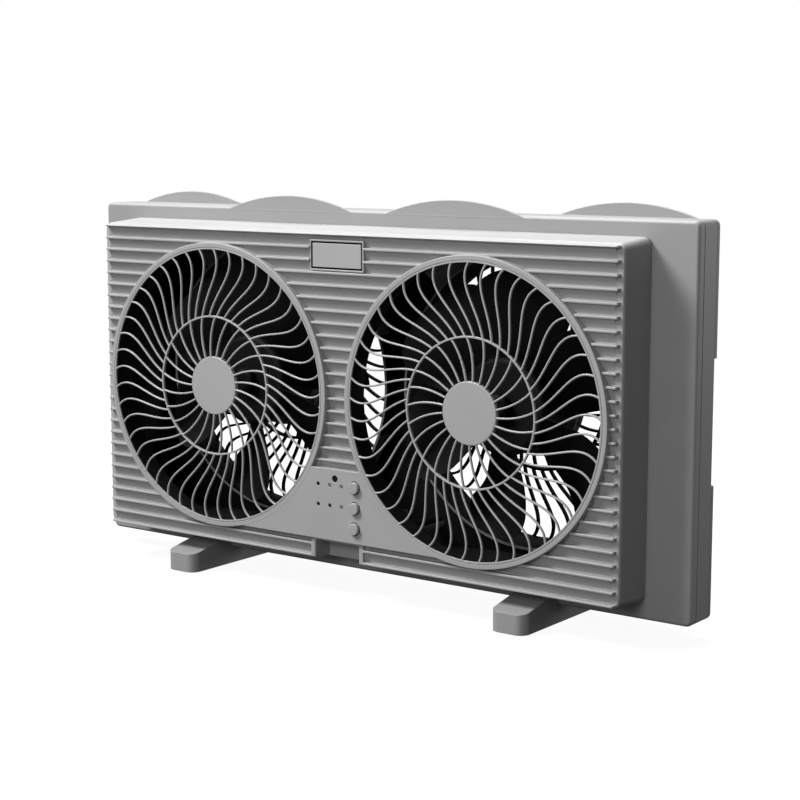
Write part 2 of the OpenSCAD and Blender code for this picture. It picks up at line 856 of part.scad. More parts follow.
// The spokes and rings of a grille, seen from the front; hub_radius is its middle plate
module grille_plan(hub_radius) {
    inner_span = mid_ring_r - disc_r;
    outer_span = grille_in_r - mid_ring_r;
    circle(hub_radius);
    flat_ring(mid_ring_r - spoke_w / 2, mid_ring_r + spoke_w / 2);
    for (k = [0 : inner_spokes - 1])
        rotate(k * 360 / inner_spokes)
            spoke(disc_r, mid_ring_r, (hub_radius - over - disc_r) / inner_span, 1,
                inner_start, [inner_bend_1, inner_bend_2, 0], 4);
    for (k = [0 : outer_spokes - 1])
        rotate(k * 360 / outer_spokes)
            spoke(mid_ring_r, grille_in_r, 0, 1 + grille_ring_w / 2 / outer_span,
                outer_start, [outer_bend_1, outer_bend_2, outer_bend_3], 9);
}

// A grille about x; the spokes are at its outer face, and the ring reaches inwards
module grille(x, hand, hub_radius, spoke_y0, ring_y0) {
    slab(spoke_y0, spoke_y0 + spoke_d)
        translate([x, axis_height])
            handed(hand)
                grille_plan(hub_radius);
    slab(ring_y0, ring_y0 + grille_ring_d)
        translate([x, axis_height])
            flat_ring(grille_in_r, grille_r);
}

// The right-hand pattern, or its mirror image
module handed(hand) {
    if (hand > 0) {
        children();
    } else {
        mirror([1, 0])
            children();
    }
}

module front_grille(side) {
    color(grille_grey)
        grille(side * fan_x, side, disc_r, rim_y, rim_y);
}

module rear_grille(side) {
    x = side * fan_x;
    spoke_y0 = rear_rim_y - spoke_d;
    color(dark_grey)
        difference() {
            union() {
                grille(x, side, motor_plate_r, spoke_y0, rear_rim_y - grille_ring_d);
                rod(x, axis_height, motor_plate_r, motor_back_y, rear_rim_y);
            }
            rod(x, axis_height, bush_boss_r + fit_gap, motor_back_y - over, rear_rim_y + over);
            for (k = [0 : motor_screw_count - 1])
                motor_screw_hole(x, k);
        }
}

function motor_screw_point(x, k) =
    [x, axis_height] + polar(screw_circle_r, 45 + k * 360 / motor_screw_count);

module motor_screw_hole(x, k) {
    p = motor_screw_point(x, k);
    rod(p[0], p[1], screw_r + hole_fit, motor_back_y - over, rear_rim_y + over);
    rod(p[0], p[1], screw_head_r + head_fit, motor_head_y, rear_rim_y + over);
}

// ---- Fans ----

// A point of a blade's surface. k runs from the hub to the tip, u from the front edge
// (-1) to the rear edge (1), and side is 1 or -1 for its two faces.
function blade_point(k, u, side) =
    let (
        r = hub_r + k * (blade_tip_r - hub_r),
        depth = blade_root_d + k * (blade_tip_d - blade_root_d),
        slant = blade_root_slant + k * (blade_tip_slant - blade_root_slant),
        past = max(0, r - blade_tip_r + blade_corner),
        half = depth / 2 - blade_corner + sqrt(blade_corner * blade_corner - past * past),
        steep = sqrt(1 + slant * slant),
        thick = side * blade_t / 2 * (1 - blade_thinning * u * u) + blade_camber * (1 - u * u),
        turn = blade_sweep_1 * k - blade_sweep_2 * k * k - slant * u * half / r * 180 / PI,
        a = blade_phase + turn + thick / steep / r * 180 / PI,
        y = u * half + thick * slant / steep
    )
    [r * cos(a), y, r * sin(a)];

module blade() {
    n = blade_columns + 1;
    count = (blade_rows + 1) * n;
    k0 = -wall / 2 / (blade_tip_r - hub_r);
    points = [
        for (side = [1, -1], i = [0 : blade_rows], j = [0 : blade_columns])
            blade_point(k0 + (1 - k0) * sin(90 * i / blade_rows), 2 * j / blade_columns - 1, side)
    ];
    skins = [
        for (i = [0 : blade_rows - 1], j = [0 : blade_columns - 1])
            let (a = i * n + j, b = a + 1, c = a + n, d = c + 1)
            for (f = [[a, c, b], [b, c, d],
                      [a + count, b + count, c + count], [b + count, d + count, c + count]])
                f
    ];
    ends = [
        for (j = [0 : blade_columns - 1], i = [0, blade_rows])
            let (a = i * n + j, b = a + 1)
            for (f = i == 0 ? [[a, b, a + count], [b, b + count, a + count]]
                            : [[a, a + count, b], [b, a + count, b + count]])
                f
    ];
    edges = [
        for (i = [0 : blade_rows - 1], j = [0, blade_columns])
            let (a = i * n + j, c = a + n)
            for (f = j == 0 ? [[a, a + count, c], [c, a + count, c + count]]
                            : [[a, c, a + count], [c, c + count, a + count]])
                f
    ];
    polyhedron(points, [for (f = concat(skins, ends, edges)) [f[2], f[1], f[0]]]);
}

// A quarter round at the outer front corner of a turned profile
module corner_round(r, y, round_r) {
    intersection() {
        translate([r - round_r, y + round_r])
            circle(round_r);
        polygon([[r - round_r, y], [r, y], [r, y + round_r]]);
    }
}

module hub_profile() {
    round_y = hub_y + hub_edge_r;
    end_y = hub_y + hub_l;
    polygon([
        [bush_bore_r, hub_y], [hub_r - hub_edge_r, hub_y], [hub_r, round_y], [hub_r, end_y],
        [hub_r - wall, end_y], [hub_r - wall, round_y], [hub_r - hub_edge_r, hub_y + wall],
        [hub_boss_r, hub_y + wall], [hub_boss_r, hub_y + hub_boss_l], [bush_bore_r, hub_y + hub_boss_l]
    ]);
    corner_round(hub_r, hub_y, hub_edge_r);
}

module fan(side) {
    color(black_plastic) {
        turned(side * fan_x)
            hub_profile();
        for (k = [0 : blade_count - 1])
            translate([side * fan_x, blade_mid_y, axis_height])
                rotate([0, -k * 360 / blade_count, 0])
                    blade();
    }
}

module shaft(side) {
    color(metal_grey)
        rod(side * fan_x, axis_height, shaft_r, shaft_front_y, rear_bore_y - fit_gap);
}

module hub_cap(side) {
    cap_y = hub_y - hub_cap_l;
    round_r = hub_cap_l / 2;
    tip_y = shaft_front_y - fit_gap;
    color(dark_grey)
        turned(side * fan_x) {
            polygon([
                [0, cap_y], [hub_cap_r - round_r, cap_y], [hub_cap_r, cap_y + round_r],
                [hub_cap_r, hub_y], [bush_bore_r, hub_y], [bush_bore_r, tip_y], [0, tip_y]
            ]);
            corner_round(hub_cap_r, cap_y, round_r);
        }
}

// ---- Motors ----

module motor_front_bell(side) {
    skirt_y = motor_front_y + bell_edge;
    color(metal_grey)
        turned(side * fan_x)
            polygon([
                [bush_r, front_boss_y], [bush_boss_r, front_boss_y], [bush_boss_r, motor_front_y],
                [motor_r - bell_edge, motor_front_y], [motor_r, skirt_y], [motor_r, stator_front_y],
                [motor_r - bell_t, stator_front_y], [motor_r - bell_t, skirt_y],
                [motor_r - bell_edge, motor_front_y + bell_t],
                [bush_boss_r, motor_front_y + bell_t],
                [bush_boss_r, front_boss_y + front_bush_l + fit_gap],
                [bush_r, front_boss_y + front_bush_l + fit_gap]
            ]);
}

module motor_rear_bell(side) {
    skirt_y = motor_back_y - bell_edge;
    boss_front_y = rear_bore_y - rear_bush_l;
    x = side * fan_x;
    color(metal_grey)
        difference() {
            turned(x)
                polygon([
                    [motor_r - bell_t, stator_back_y], [motor_r, stator_back_y], [motor_r, skirt_y],
                    [motor_r - bell_edge, motor_back_y], [bush_boss_r, motor_back_y],
                    [bush_boss_r, rear_boss_y], [0, rear_boss_y], [0, rear_bore_y],
                    [bush_r, rear_bore_y], [bush_r, boss_front_y], [bush_boss_r, boss_front_y],
                    [bush_boss_r, motor_back_y - bell_t],
                    [motor_r - bell_edge, motor_back_y - bell_t], [motor_r - bell_t, skirt_y]
                ]);
            for (k = [0 : motor_screw_count - 1]) {
                p = motor_screw_point(x, k);
                rod(p[0], p[1], screw_r + screw_fit, motor_back_y - bell_t - over, motor_back_y + over);
            }
        }
}

module stator(side) {
    color(dark_grey)
        slab(stator_front_y, stator_back_y)
            translate([side * fan_x, axis_height])
                flat_ring(stator_bore_r, motor_r);
}

// The two heads of the copper windings, in front of and behind the stack
module windings(side) {
    color(copper)
        for (y = [stator_front_y - coil_d, stator_back_y])
            slab(y, y + coil_d)
                translate([side * fan_x, axis_height])
                    flat_ring(coil_in_r, coil_out_r);
}

module rotor_core(side) {
    color(metal_grey)
        slab(core_mid_y - core_l / 2, core_mid_y + core_l / 2)
            translate([side * fan_x, axis_height])
                flat_ring(bush_bore_r, core_r);
}

module bush(side, y, l) {
    color(bronze)
        slab(y, y + l)
            translate([side * fan_x, axis_height])
                flat_ring(bush_bore_r, bush_r);
}

module front_bush(side) {
    bush(side, front_boss_y, front_bush_l);
}

module rear_bush(side) {
    bush(side, rear_bore_y - rear_bush_l, rear_bush_l);
}

// A screw along the depth with its head towards the back
module back_screw(x, z, seat_y, l, r, head_r, head_t) {
    rod(x, z, r, seat_y - l, seat_y + head_t / 2);
    rod(x, z, head_r, seat_y, seat_y + head_t);
}

module motor_screws() {
    color(metal_grey)
        for (x = [-fan_x, fan_x], k = [0 : motor_screw_count - 1]) {
            p = motor_screw_point(x, k);
            back_screw(p[0], p[1], motor_head_y, motor_head_y - motor_back_y + bell_t,
                screw_r, screw_head_r, screw_head_t);
        }
}

// ---- Control panel ----

module button(k) {
    cap_y = rim_y - button_proud;
    flange_y = panel_back_y + fit_gap;
    color(face_grey)
        turned(button_x, button_z(k))
            polygon([
                [0, cap_y], [button_r - button_edge, cap_y], [button_r, cap_y + button_edge],
                [button_r, flange_y],
                [button_r + button_flange, flange_y],
                [button_r + button_flange, flange_y + button_flange_t],
                [stem_r, flange_y + button_flange_t], [stem_r, stem_end_y], [0, stem_end_y]
            ]);
}

module plunger(k) {
    color(black_plastic)
        rod(button_x, button_z(k), plunger_r, stem_end_y, plunger_end_y);
}

// Six light pipes that reach from the panel's face to the control board
module indicator_windows() {
    color(black_plastic)
        for (p = window_points)
            rod(p[0], p[1], window_r, rim_y, board_y);
}

module receiver_window() {
    color(black_plastic)
        rod(0, panel_z1 - receiver_drop, receiver_r, rim_y, board_y);
}

module control_board() {
    color(board_green)
        difference() {
            slab(board_y, board_y + board_t)
                polygon([
                    [board_x0, board_z0], [board_x1, board_z0], [board_x1, board_z1 - board_chamfer_z],
                    [board_x1 - board_chamfer_x, board_z1], [board_x0, board_z1]
                ]);
            for (p = board_holes)
                rod(p[0], p[1], small_screw_r + hole_fit, board_y - over, board_y + board_t + over);
        }
}

module tact_switches() {
    half = switch_w / 2;
    color(black_plastic)
        for (k = [0 : button_count - 1])
            difference() {
                block(button_x - half, button_x + half, switch_y, board_y,
                    button_z(k) - half, button_z(k) + half);
                rod(button_x, button_z(k), plunger_r + fit_gap, switch_y - over, board_y + over);
            }
}

module board_screws() {
    seat_y = board_y + board_t;
    color(metal_grey)
        for (p = board_holes)
            back_screw(p[0], p[1], seat_y, seat_y - panel_back_y, small_screw_r, small_head_r, small_screw_r);
}

// ---- Frame ----

module frame_outline(inset) {
    soft_box(-frame_x + inset, frame_x - inset, frame_z0 + inset, frame_z1 - inset,
        frame_corner_r - inset / 2);
}

module duct_outline(outset) {
    flat_box(-duct_x - outset, duct_x + outset, duct_z0 - outset, duct_z1 + outset);
}

// An arc-shaped sash tab on the frame's upper edge
module tab(x, half, h) {
    r = (half * half + h * h) / (2 * h);
    intersection() {
        translate([x, frame_z1 + h - r])
            circle(r);
        flat_box(x - half - over, x + half + over, frame_z1 - wall, frame_z1 + h + over);
    }
}

// Strips that keep the extenders' rails in the middle of their slot
module rail_guides(y0, y1) {
    for (z0 = [low_rail_z0, high_rail_z1 - rail_h], z = [z0 + guide_inset, z0 + rail_h - guide_inset])
        pair()
            block(rail_end_x + guide_inset, duct_x, y0, y1, z - guide_t / 2, z + guide_t / 2);
}

module front_frame() {
    color(shell_grey)
        difference() {
            union() {
                slab(plate_y, duct_front_y)
                    difference() {
                        frame_outline(0);
                        duct_outline(0);
                    }
                slab(plate_y, seam_y)
                    difference() {
                        frame_outline(0);
                        frame_outline(wall);
                    }
                slab(plate_y, duct_front_y)
                    for (side = [-1, 1])
                        tab(side * front_tab_x, front_tab_half, front_tab_h);
                rail_guides(duct_front_y - over, rail_y0 - rail_gap);
                for (side = [-1, 1], z = frame_screw_zs)
                    rod(side * frame_screw_x, z, frame_boss_r, duct_front_y - over, flange_front_y);
            }
            for (side = [-1, 1], z = frame_screw_zs)
                rod(side * frame_screw_x, z, screw_r + screw_fit, flange_y - frame_screw_l - over, flange_y);
        }
}

module rear_housing() {
    side_x = frame_x - frame_corner_r;
    gap_z0 = (frame_z0 + frame_z1 - finger_gap_h) / 2;
    color(shell_grey)
        difference() {
            union() {
                difference() {
                    slab(seam_y, flange_y)
                        frame_outline(0);
                    slab(seam_y - over, flange_front_y)
                        frame_outline(wall);
                    slab(flange_front_y - over, flange_y + over)
                        duct_outline(0);
                }
                slab(duct_front_y, flange_front_y + over)
                    difference() {
                        duct_outline(wall);
                        duct_outline(0);
                    }
                rear_box();
                slab(flange_front_y, flange_y)
                    for (side = [-1, 1])
                        tab(side * rear_tab_x, rear_tab_half, rear_tab_h);
                rail_guides(rail_y1 + rail_gap, flange_front_y + over);
                for (x = [-fan_x, fan_x])
                    collar(x, rear_rim_y, -1, rear_rim_proud);
                for (p = housing_screw_points)
                    rod(p[0], p[1], boss_r, plate_y, back_y - over);
            }
            pair()
                block(side_x, frame_x + over, seam_y - over, lip_y, frame_z0 + wall, frame_z1 - wall);
            pair()
                block(frame_x - finger_gap_d, frame_x + over, lip_y - over, flange_y + over,
                    gap_z0, gap_z0 + finger_gap_h);
            for (p = housing_screw_points) {
                rod(p[0], p[1], screw_r + hole_fit, plate_y - over, screw_seat_y + over);
                rod(p[0], p[1], screw_head_r + head_fit, screw_seat_y, back_y + over);
            }
            for (side = [-1, 1], z = frame_screw_zs)
                rod(side * frame_screw_x, z, screw_r + hole_fit, flange_front_y - over, flange_y + over);
            for (p = foot_screw_points)
                translate([p[0], p[1], frame_z0 - over])
                    cylinder(r = screw_r + screw_fit, h = wall + 2 * over);
            rod(0, gland_z, gland_r + screw_fit, back_y - wall - over, back_y + over);
        }
}

module rear_box() {
    difference() {
        translate([0, back_y, 0])
            mirror([0, 1, 0])
                tub(rear_box_d, rear_draft);
        translate([0, back_y, 0])
            mirror([0, 1, 0])
                tub_hollow(rear_box_d, rear_draft, wall);
        for (x = [-fan_x, fan_x])
            rod(x, axis_height, opening_r, back_y - wall - over, back_y + over);
    }
}

module cord_gland() {
    color(black_plastic)
        turned(0, gland_z)
            polygon([
                [gland_bore_r, back_y - wall - gland_flange], [gland_r, back_y - wall - gland_flange],
                [gland_r, back_y], [gland_r + gland_flange, back_y],
                [gland_r + gland_flange, back_y + gland_flange],
                [gland_r - gland_flange / 2, back_y + gland_proud],
                [gland_bore_r, back_y + gland_proud]
            ]);
}

// ---- Extenders ----

module extender(side) {
    color(face_grey)
        mirror([side < 0 ? 1 : 0, 0, 0]) {
            bar_x(plate_in_x, frame_x)
                soft_box(seam_y + fit_gap, lip_y - fit_gap, frame_z0 + wall + fit_gap,
                    frame_z1 - wall - fit_gap, end_plate_t / 2);
            bar_x(rail_end_x, plate_in_x + over)
                difference() {
                    flat_box(rail_y0, rail_y1, high_rail_z1 - rail_h, high_rail_z1);
                    flat_box(rail_y0 + rail_wall, rail_y1 - rail_wall,
                        high_rail_z1 - rail_h - over, high_rail_z1 - rail_wall);
                }
            bar_x(rail_end_x, plate_in_x + over)
                difference() {
                    flat_box(rail_y0, rail_y1, low_rail_z0, low_rail_z0 + rail_h);
                    flat_box(rail_y0 + rail_wall, rail_y1 - rail_wall,
                        low_rail_z0 + rail_wall, low_rail_z0 + rail_h + over);
                }
        }
}

// Accordion-folded curtain between the duct and the extender's end plate. Each fold is
// flat outside, and inside it two neighbouring sheets meet fold_d short of the tip.
module bellows(side) {
    half_t = pleat_t / 2;
    x0 = duct_x + wall + fit_gap + half_t;
    x1 = plate_in_x - fit_gap - half_t;
    step = (x1 - x0) / (2 * pleats);
    fold_d = (rail_y1 - rail_y0) * half_t / step;
    z0 = low_rail_z0 + rail_h + over;
    z1 = high_rail_z1 - rail_h - over;
    back_path = [
        for (i = [1 : 2 : 2 * pleats - 1])
            for (p = i == 1
                ? [[x0 + i * step - half_t, rail_y1], [x0 + i * step + half_t, rail_y1]]
                : [[x0 + (i - 1) * step, rail_y0 + fold_d],
                   [x0 + i * step - half_t, rail_y1], [x0 + i * step + half_t, rail_y1]])
                p
    ];
    front_path = [
        for (i = [2 * pleats - 1 : -2 : 1])
            for (p = i == 1
                ? [[x0 + i * step, rail_y1 - fold_d]]
                : [[x0 + i * step, rail_y1 - fold_d],
                   [x0 + (i - 1) * step + half_t, rail_y0], [x0 + (i - 1) * step - half_t, rail_y0]])
                p
    ];
    color(dark_grey)
        mirror([side < 0 ? 1 : 0, 0, 0])
            translate([0, 0, z0])
                linear_extrude(z1 - z0)
                    polygon(concat(
                        [[x0 - half_t, rail_y0]], back_path,
                        [[x1 + half_t, rail_y0], [x1 - half_t, rail_y0]], front_path,
                        [[x0 + half_t, rail_y0]]
                    ));
}

// ---- Feet and screws ----

// Side view of a foot: a low nose, sloping tops, and the channel that the frame stands in
module foot_side() {
    front_y = -foot_l / 2;
    back_end_y = foot_l / 2;
    channel_y0 = plate_y - fit_gap;
    channel_y1 = flange_y + fit_gap;
    slope = tan(foot_slope);
    polygon([
        [front_y, 0], [front_y, foot_nose_h], [channel_y0, foot_nose_h + (channel_y0 - front_y) * slope],
        [channel_y0, frame_z0], [channel_y1, frame_z0],
        [channel_y1, foot_nose_h + (back_end_y - channel_y1) * slope],
        [back_end_y, foot_nose_h], [back_end_y, 0]
    ]);
}

module foot(side) {
    half_w = foot_w / 2;
    half_l = foot_l / 2;
    color(face_grey)
        difference() {
            intersection() {
                bar_x(side * foot_x - half_w - over, side * foot_x + half_w + over)
                    foot_side();
                translate([side * foot_x, 0, -over])
                    linear_extrude(frame_z1)
                        soft_box(-half_w, half_w, -half_l, half_l, foot_corner_r);
            }
            for (p = foot_screw_points)
                translate([p[0], p[1], -over]) {
                    cylinder(r = screw_head_r + head_fit, h = foot_seat_z + over);
                    cylinder(r = screw_r + hole_fit, h = frame_lift + 2 * over);
                }
        }
}

module foot_screws() {
    color(metal_grey)
        for (p = foot_screw_points)
            translate([p[0], p[1], foot_seat_z]) {
                cylinder(r = screw_r, h = frame_z0 + wall - fit_gap / 2 - foot_seat_z);
                translate([0, 0, -screw_head_t])
                    cylinder(r = screw_head_r, h = screw_head_t);
            }
}

module housing_screws() {
    color(metal_grey)
        for (p = housing_screw_points)
            back_screw(p[0], p[1], screw_seat_y, housing_screw_l, screw_r, screw_head_r, screw_head_t);
}

module frame_screws() {
    color(metal_grey)
        for (side = [-1, 1], z = frame_screw_zs)
            back_screw(side * frame_screw_x, z, flange_y, frame_screw_l, screw_r, screw_head_r, screw_head_t);
}

front_cover();
badge_plate();
front_grille(-1);  // front_grille_left
front_grille(1);  // front_grille_right
button(0);  // button_power
button(1);  // button_speed
button(2);  // button_airflow
plunger(0);  // plunger_power
plunger(1);  // plunger_speed
plunger(2);  // plunger_airflow
indicator_windows();
receiver_window();
control_board();
tact_switches();
board_screws();
front_frame();
rear_housing();
rear_grille(-1);  // rear_grille_left
rear_grille(1);  // rear_grille_right
extender(-1);  // extender_left
extender(1);  // extender_right
bellows(-1);  // bellows_left
bellows(1);  // bellows_right
fan(-1);  // fan_left
fan(1);  // fan_right
shaft(-1);  // shaft_left
shaft(1);  // shaft_right
rotor_core(-1);  // rotor_core_left
rotor_core(1);  // rotor_core_right
hub_cap(-1);  // hub_cap_left
hub_cap(1);  // hub_cap_right
motor_front_bell(-1);  // motor_front_bell_left
motor_front_bell(1);  // motor_front_bell_right
stator(-1);  // stator_left
stator(1);  // stator_right
windings(-1);  // windings_left
windings(1);  // windings_right
motor_rear_bell(-1);  // motor_rear_bell_left
motor_rear_bell(1);  // motor_rear_bell_right
front_bush(-1);  // front_bush_left
front_bush(1);  // front_bush_right
rear_bush(-1);  // rear_bush_left
rear_bush(1);  // rear_bush_right
motor_screws();
foot(-1);  // foot_left
foot(1);  // foot_right
foot_screws();
housing_screws();
frame_screws();
cord_gland();
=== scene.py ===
"""A twin window fan in moulded grey ABS: the looks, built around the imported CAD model.

All sizes in this script are in millimetres in the CAD frame and are turned to metres where a
mesh is made. +X runs along the width, -Y is the room side, +Z is up.
"""

import json
import math

import bmesh
import bpy
from mathutils import Matrix, Vector

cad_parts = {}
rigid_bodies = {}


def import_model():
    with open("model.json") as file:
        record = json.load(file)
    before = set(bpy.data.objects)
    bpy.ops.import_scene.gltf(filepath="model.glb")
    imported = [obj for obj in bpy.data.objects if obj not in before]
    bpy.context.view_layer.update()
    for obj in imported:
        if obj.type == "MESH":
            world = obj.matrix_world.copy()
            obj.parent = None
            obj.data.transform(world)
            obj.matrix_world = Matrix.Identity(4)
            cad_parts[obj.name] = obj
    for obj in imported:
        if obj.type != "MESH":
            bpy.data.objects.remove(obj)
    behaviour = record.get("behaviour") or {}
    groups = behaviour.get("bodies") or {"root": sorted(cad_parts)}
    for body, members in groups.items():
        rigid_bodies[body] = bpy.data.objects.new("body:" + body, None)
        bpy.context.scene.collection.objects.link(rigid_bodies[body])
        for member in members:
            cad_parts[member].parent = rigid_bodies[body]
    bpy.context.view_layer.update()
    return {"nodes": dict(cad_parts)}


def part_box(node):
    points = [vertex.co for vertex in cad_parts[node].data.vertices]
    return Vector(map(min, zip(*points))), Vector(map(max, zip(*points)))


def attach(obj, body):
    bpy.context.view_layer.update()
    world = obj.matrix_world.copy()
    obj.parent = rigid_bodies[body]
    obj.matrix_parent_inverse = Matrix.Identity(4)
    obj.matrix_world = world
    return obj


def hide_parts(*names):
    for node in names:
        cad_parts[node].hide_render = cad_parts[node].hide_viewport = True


for leftover in list(bpy.data.objects):
    bpy.data.objects.remove(leftover)
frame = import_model()

MM = 0.001
SIDES = {"left": -1, "right": 1}


def limits(node):
    """The lowest and highest corner of a CAD node, in millimetres."""
    low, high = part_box(node)
    return low / MM, high / MM


# ---- Sizes, taken from the CAD nodes where they hold them ----

GRILLE_LOW, GRILLE_HIGH = limits("front_grille_right")
FAN_X = (GRILLE_LOW.x + GRILLE_HIGH.x) / 2
AXIS_Z = (GRILLE_LOW.z + GRILLE_HIGH.z) / 2
GRILLE_R = (GRILLE_HIGH.x - GRILLE_LOW.x) / 2
RIM_Y = GRILLE_LOW.y
REAR_RIM_Y = limits("rear_grille_right")[1].y

COVER_LOW, COVER_HIGH = limits("front_cover")
COVER_X = COVER_HIGH.x
COVER_BACK_Y = COVER_HIGH.y
COVER_Z0, COVER_Z1 = COVER_LOW.z, COVER_HIGH.z
RIM_PROUD = 2.3  # how far the rims stand out of the rib noses
FACE_Y = RIM_Y + RIM_PROUD  # plane of the rib noses
SKIN_Y = FACE_Y + 8.0  # inside of the ribbed wall
COVER_DRAFT, REAR_DRAFT = 4.44, 2.0
DRAFT_STEP = (COVER_BACK_Y - FACE_Y) * math.tan(math.radians(COVER_DRAFT))
FACE_Z0, FACE_Z1 = COVER_Z0 + DRAFT_STEP, COVER_Z1 - DRAFT_STEP
EDGE_IN, EDGE_BACK = 1.6, 3.2  # rounding of the cover's front edges, sideways and in depth
CORNER_R = 6.0  # corners of the cover, seen from the front
WALL = 2.5

RIB_COUNT = 26
RIB_NOSE = 2.2  # height of a rib's nose
RIB_LOW, RIB_HIGH = 1.5, 13.0  # plain margins below the first and above the last nose
TOP_BORDER, SIDE_BORDER = 3.1, 7.0
BORDER_BACK = 4.0  # the plain border lies this far behind the noses
RIB_END = 3.2  # the noses end this far short of the cover's sides
BLOCK_LOW, BLOCK_HIGH = 0.3, 0.9  # from the face's lower and upper edge to the rib block's
BLOCK_ROUND = (1.6, 0.7, 2.4)  # rounding of the block: sideways, in height and in depth
BLOCK_CORNER = 1.2
BLOCK_SINK = 1.5  # how far the block reaches into the wall behind the border
GROOVE_DEEP, GROOVE_SHALLOW = 5.6, 2.6  # a groove's depth at its lower and its upper edge
GROOVE_END_R = 0.8
GROOVE_PAST = 0.7  # how far a groove runs past the block's sides
STRAIGHT_SHARE = 0.62  # share of a groove's depth in front of its ends' slopes
END_SLOPE = 4.0  # width of the slope at a groove's end
BEAD_H, BEAD_PROUD = 1.5, 1.1  # lip along the border above the top groove
BEAD_LIFT, BEAD_SHORT = 0.3, 2.5  # its distance from the groove, and from the noses' ends
NOSE_ROUND = 0.8  # rounding of a nose's two edges
FLOOR_ROUND = 1.0  # fillet at a groove's floor

RIM_IN_R, RIM_OUT_R = 121.5, 125.7
OPENING_R = 123.75
THROAT_R, THROAT_OUT_R = 124.0, 126.4
RIM_SLOPE_R, REAR_SLOPE_R = 126.3, RIM_OUT_R + 2.5  # foot of the rims' outer slopes
RIM_SLOPE_DEPTH = 8.4  # from a rim's edge to that foot, just behind the grooves' floors
LEDGE_DEPTH, LEDGE_BACK = 8, 10.4  # ledge behind a grille's ring, from the rim's edge
COLLAR_DEPTH = 25.5

PANEL_Z0, PANEL_Z1 = AXIS_Z - 121.5, AXIS_Z - 60.0
BADGE_Z = AXIS_Z + 119.2
NOTCH_X, NOTCH_BORDER, NOTCH_TOP, NOTCH_DEPTH = 23.2, 4.8, FACE_Z0 + 15.6, 19.7

FRAME_LOW, FRAME_HIGH = limits("front_frame")
FRAME_X, FRAME_Z0, FRAME_CORNER = FRAME_HIGH.x, FRAME_LOW.z, 5.0
FRONT_TAB = (87.0, 64.0, 10.7)  # distance from the middle, half width, height
REAR_TAB = (230.0, 62.0, 11.0)
FRAME_Z1 = FRAME_HIGH.z - FRONT_TAB[2]
FRAME_EDGE = 3.0  # rounding of the frame's front and rear edges
PLATE_Y = COVER_BACK_Y
DUCT_Y = PLATE_Y + WALL
SEAM_Y, LIP_Y, FLANGE_Y = PLATE_Y + 9.0, PLATE_Y + 29.5, PLATE_Y + 35.5
BACK_Y = REAR_RIM_Y - 8.0
DUCT_X, DUCT_Z0, DUCT_Z1 = 268.0, 42.0, 302.0
RAIL_END_X, RAIL_ZS = 125.0, (17.8, 307.4)
HOUSING_SCREWS = [(-258, 290), (0, 290), (258, 290), (-258, 54), (-36, 54), (36, 54), (258, 54)]
FRAME_SCREWS = [(x, z) for x in (-60, 60) for z in (22, 320.2)]
HEAD_R = 3.9  # hole for the head of a housing screw
GLAND_Z, GLAND_R = 55.15, 6.2

DISC_R = 25.8
MID_RING_R = 61.0
SPOKE_W, SPOKE_D = 1.7, 2.2  # front spokes
REAR_SPOKE_W, REAR_SPOKE_D = 2.3, 4.0
RING_W, RING_D = 1.5, 1.6  # a grille's outer ring
SKIRT_IN, SKIRT_OUT = 1.4, 0.1  # the black skirt behind it, a ring of painted shade, from the grille's edge inward
SKIRT_START, REAR_SKIRT_START, SKIRT_D = 1.2, 8, 6.8
MOTOR_PLATE_R, MOTOR_PLATE_D, MOTOR_BORE_R = 36.0, 5, 9.3  # middle of a rear grille

BLADES = 6

COLLAR_STEPS = 192  # segments round the large rims
AXIS_R = 1e-4  # least radius of a turned shape, where its profile says 0
CLEAR = 0.05  # keeps two faces apart that would else lie in one plane


# ---- Small helpers for meshes ----

def polar(r, degrees):
    a = math.radians(degrees)
    return r * math.cos(a), r * math.sin(a)


def arc(cx, cy, r, start, end, steps):
    """Points on an arc about (cx, cy), its angles in degrees."""
    return [
        (cx + r * math.cos(math.radians(start + (end - start) * k / steps)),
         cy + r * math.sin(math.radians(start + (end - start) * k / steps)))
        for k in range(steps + 1)
    ]


def soft_rect(x0, x1, z0, z1, r, steps=6):
    """Outline of a rectangle with rounded corners; every call gives the same number of points."""
    corners = ((x1 - r, z1 - r, 0), (x0 + r, z1 - r, 90), (x0 + r, z0 + r, 180), (x1 - r, z0 + r, 270))
    return [p for cx, cz, start in corners for p in arc(cx, cz, r, start, start + 90, steps)]


def at_depth(outline, y):
    return [(x, y, z) for x, z in outline]


def add_loft(bm, loops, closed=False):
    """A skin through loops of equally many points, with its two ends capped unless it is closed."""
    rings = [[bm.verts.new(Vector(p) * MM) for p in loop] for loop in loops]
    pairs = list(zip(rings, rings[1:])) + ([(rings[-1], rings[0])] if closed else [])
    for a, b in pairs:
        for i in range(len(a)):
            j = (i + 1) % len(a)
            bm.faces.new((a[i], a[j], b[j], b[i]))
    if not closed:
        bm.faces.new(rings[0])
        bm.faces.new(list(reversed(rings[-1])))


def add_lathe(bm, profile, x, z, steps=96):
    """A closed profile of (radius, depth) points turned about an axis along Y."""
    loops = []
    for k in range(steps):
        turned = [(*polar(max(r, AXIS_R), 360 * k / steps), y) for r, y in profile]
        loops.append([(x + px, y, z + pz) for px, pz, y in turned])
    add_loft(bm, loops, closed=True)


def add_block(bm, x0, x1, y0, y1, z0, z1, soft=0.15):
    """A box with softened long edges."""
    r = max(soft, 0.05)
    add_loft(bm, [at_depth(soft_rect(x0 + i, x1 - i, z0 + i, z1 - i, r, 2), y)
                  for i, y in ((r, y0), (0, y0 + r), (0, y1 - r), (r, y1))])


def plug_profile(r, y0, y1):
    """Half section of a plain round cutter."""
    return [(0, y0), (r, y0), (r, y1), (0, y1)]


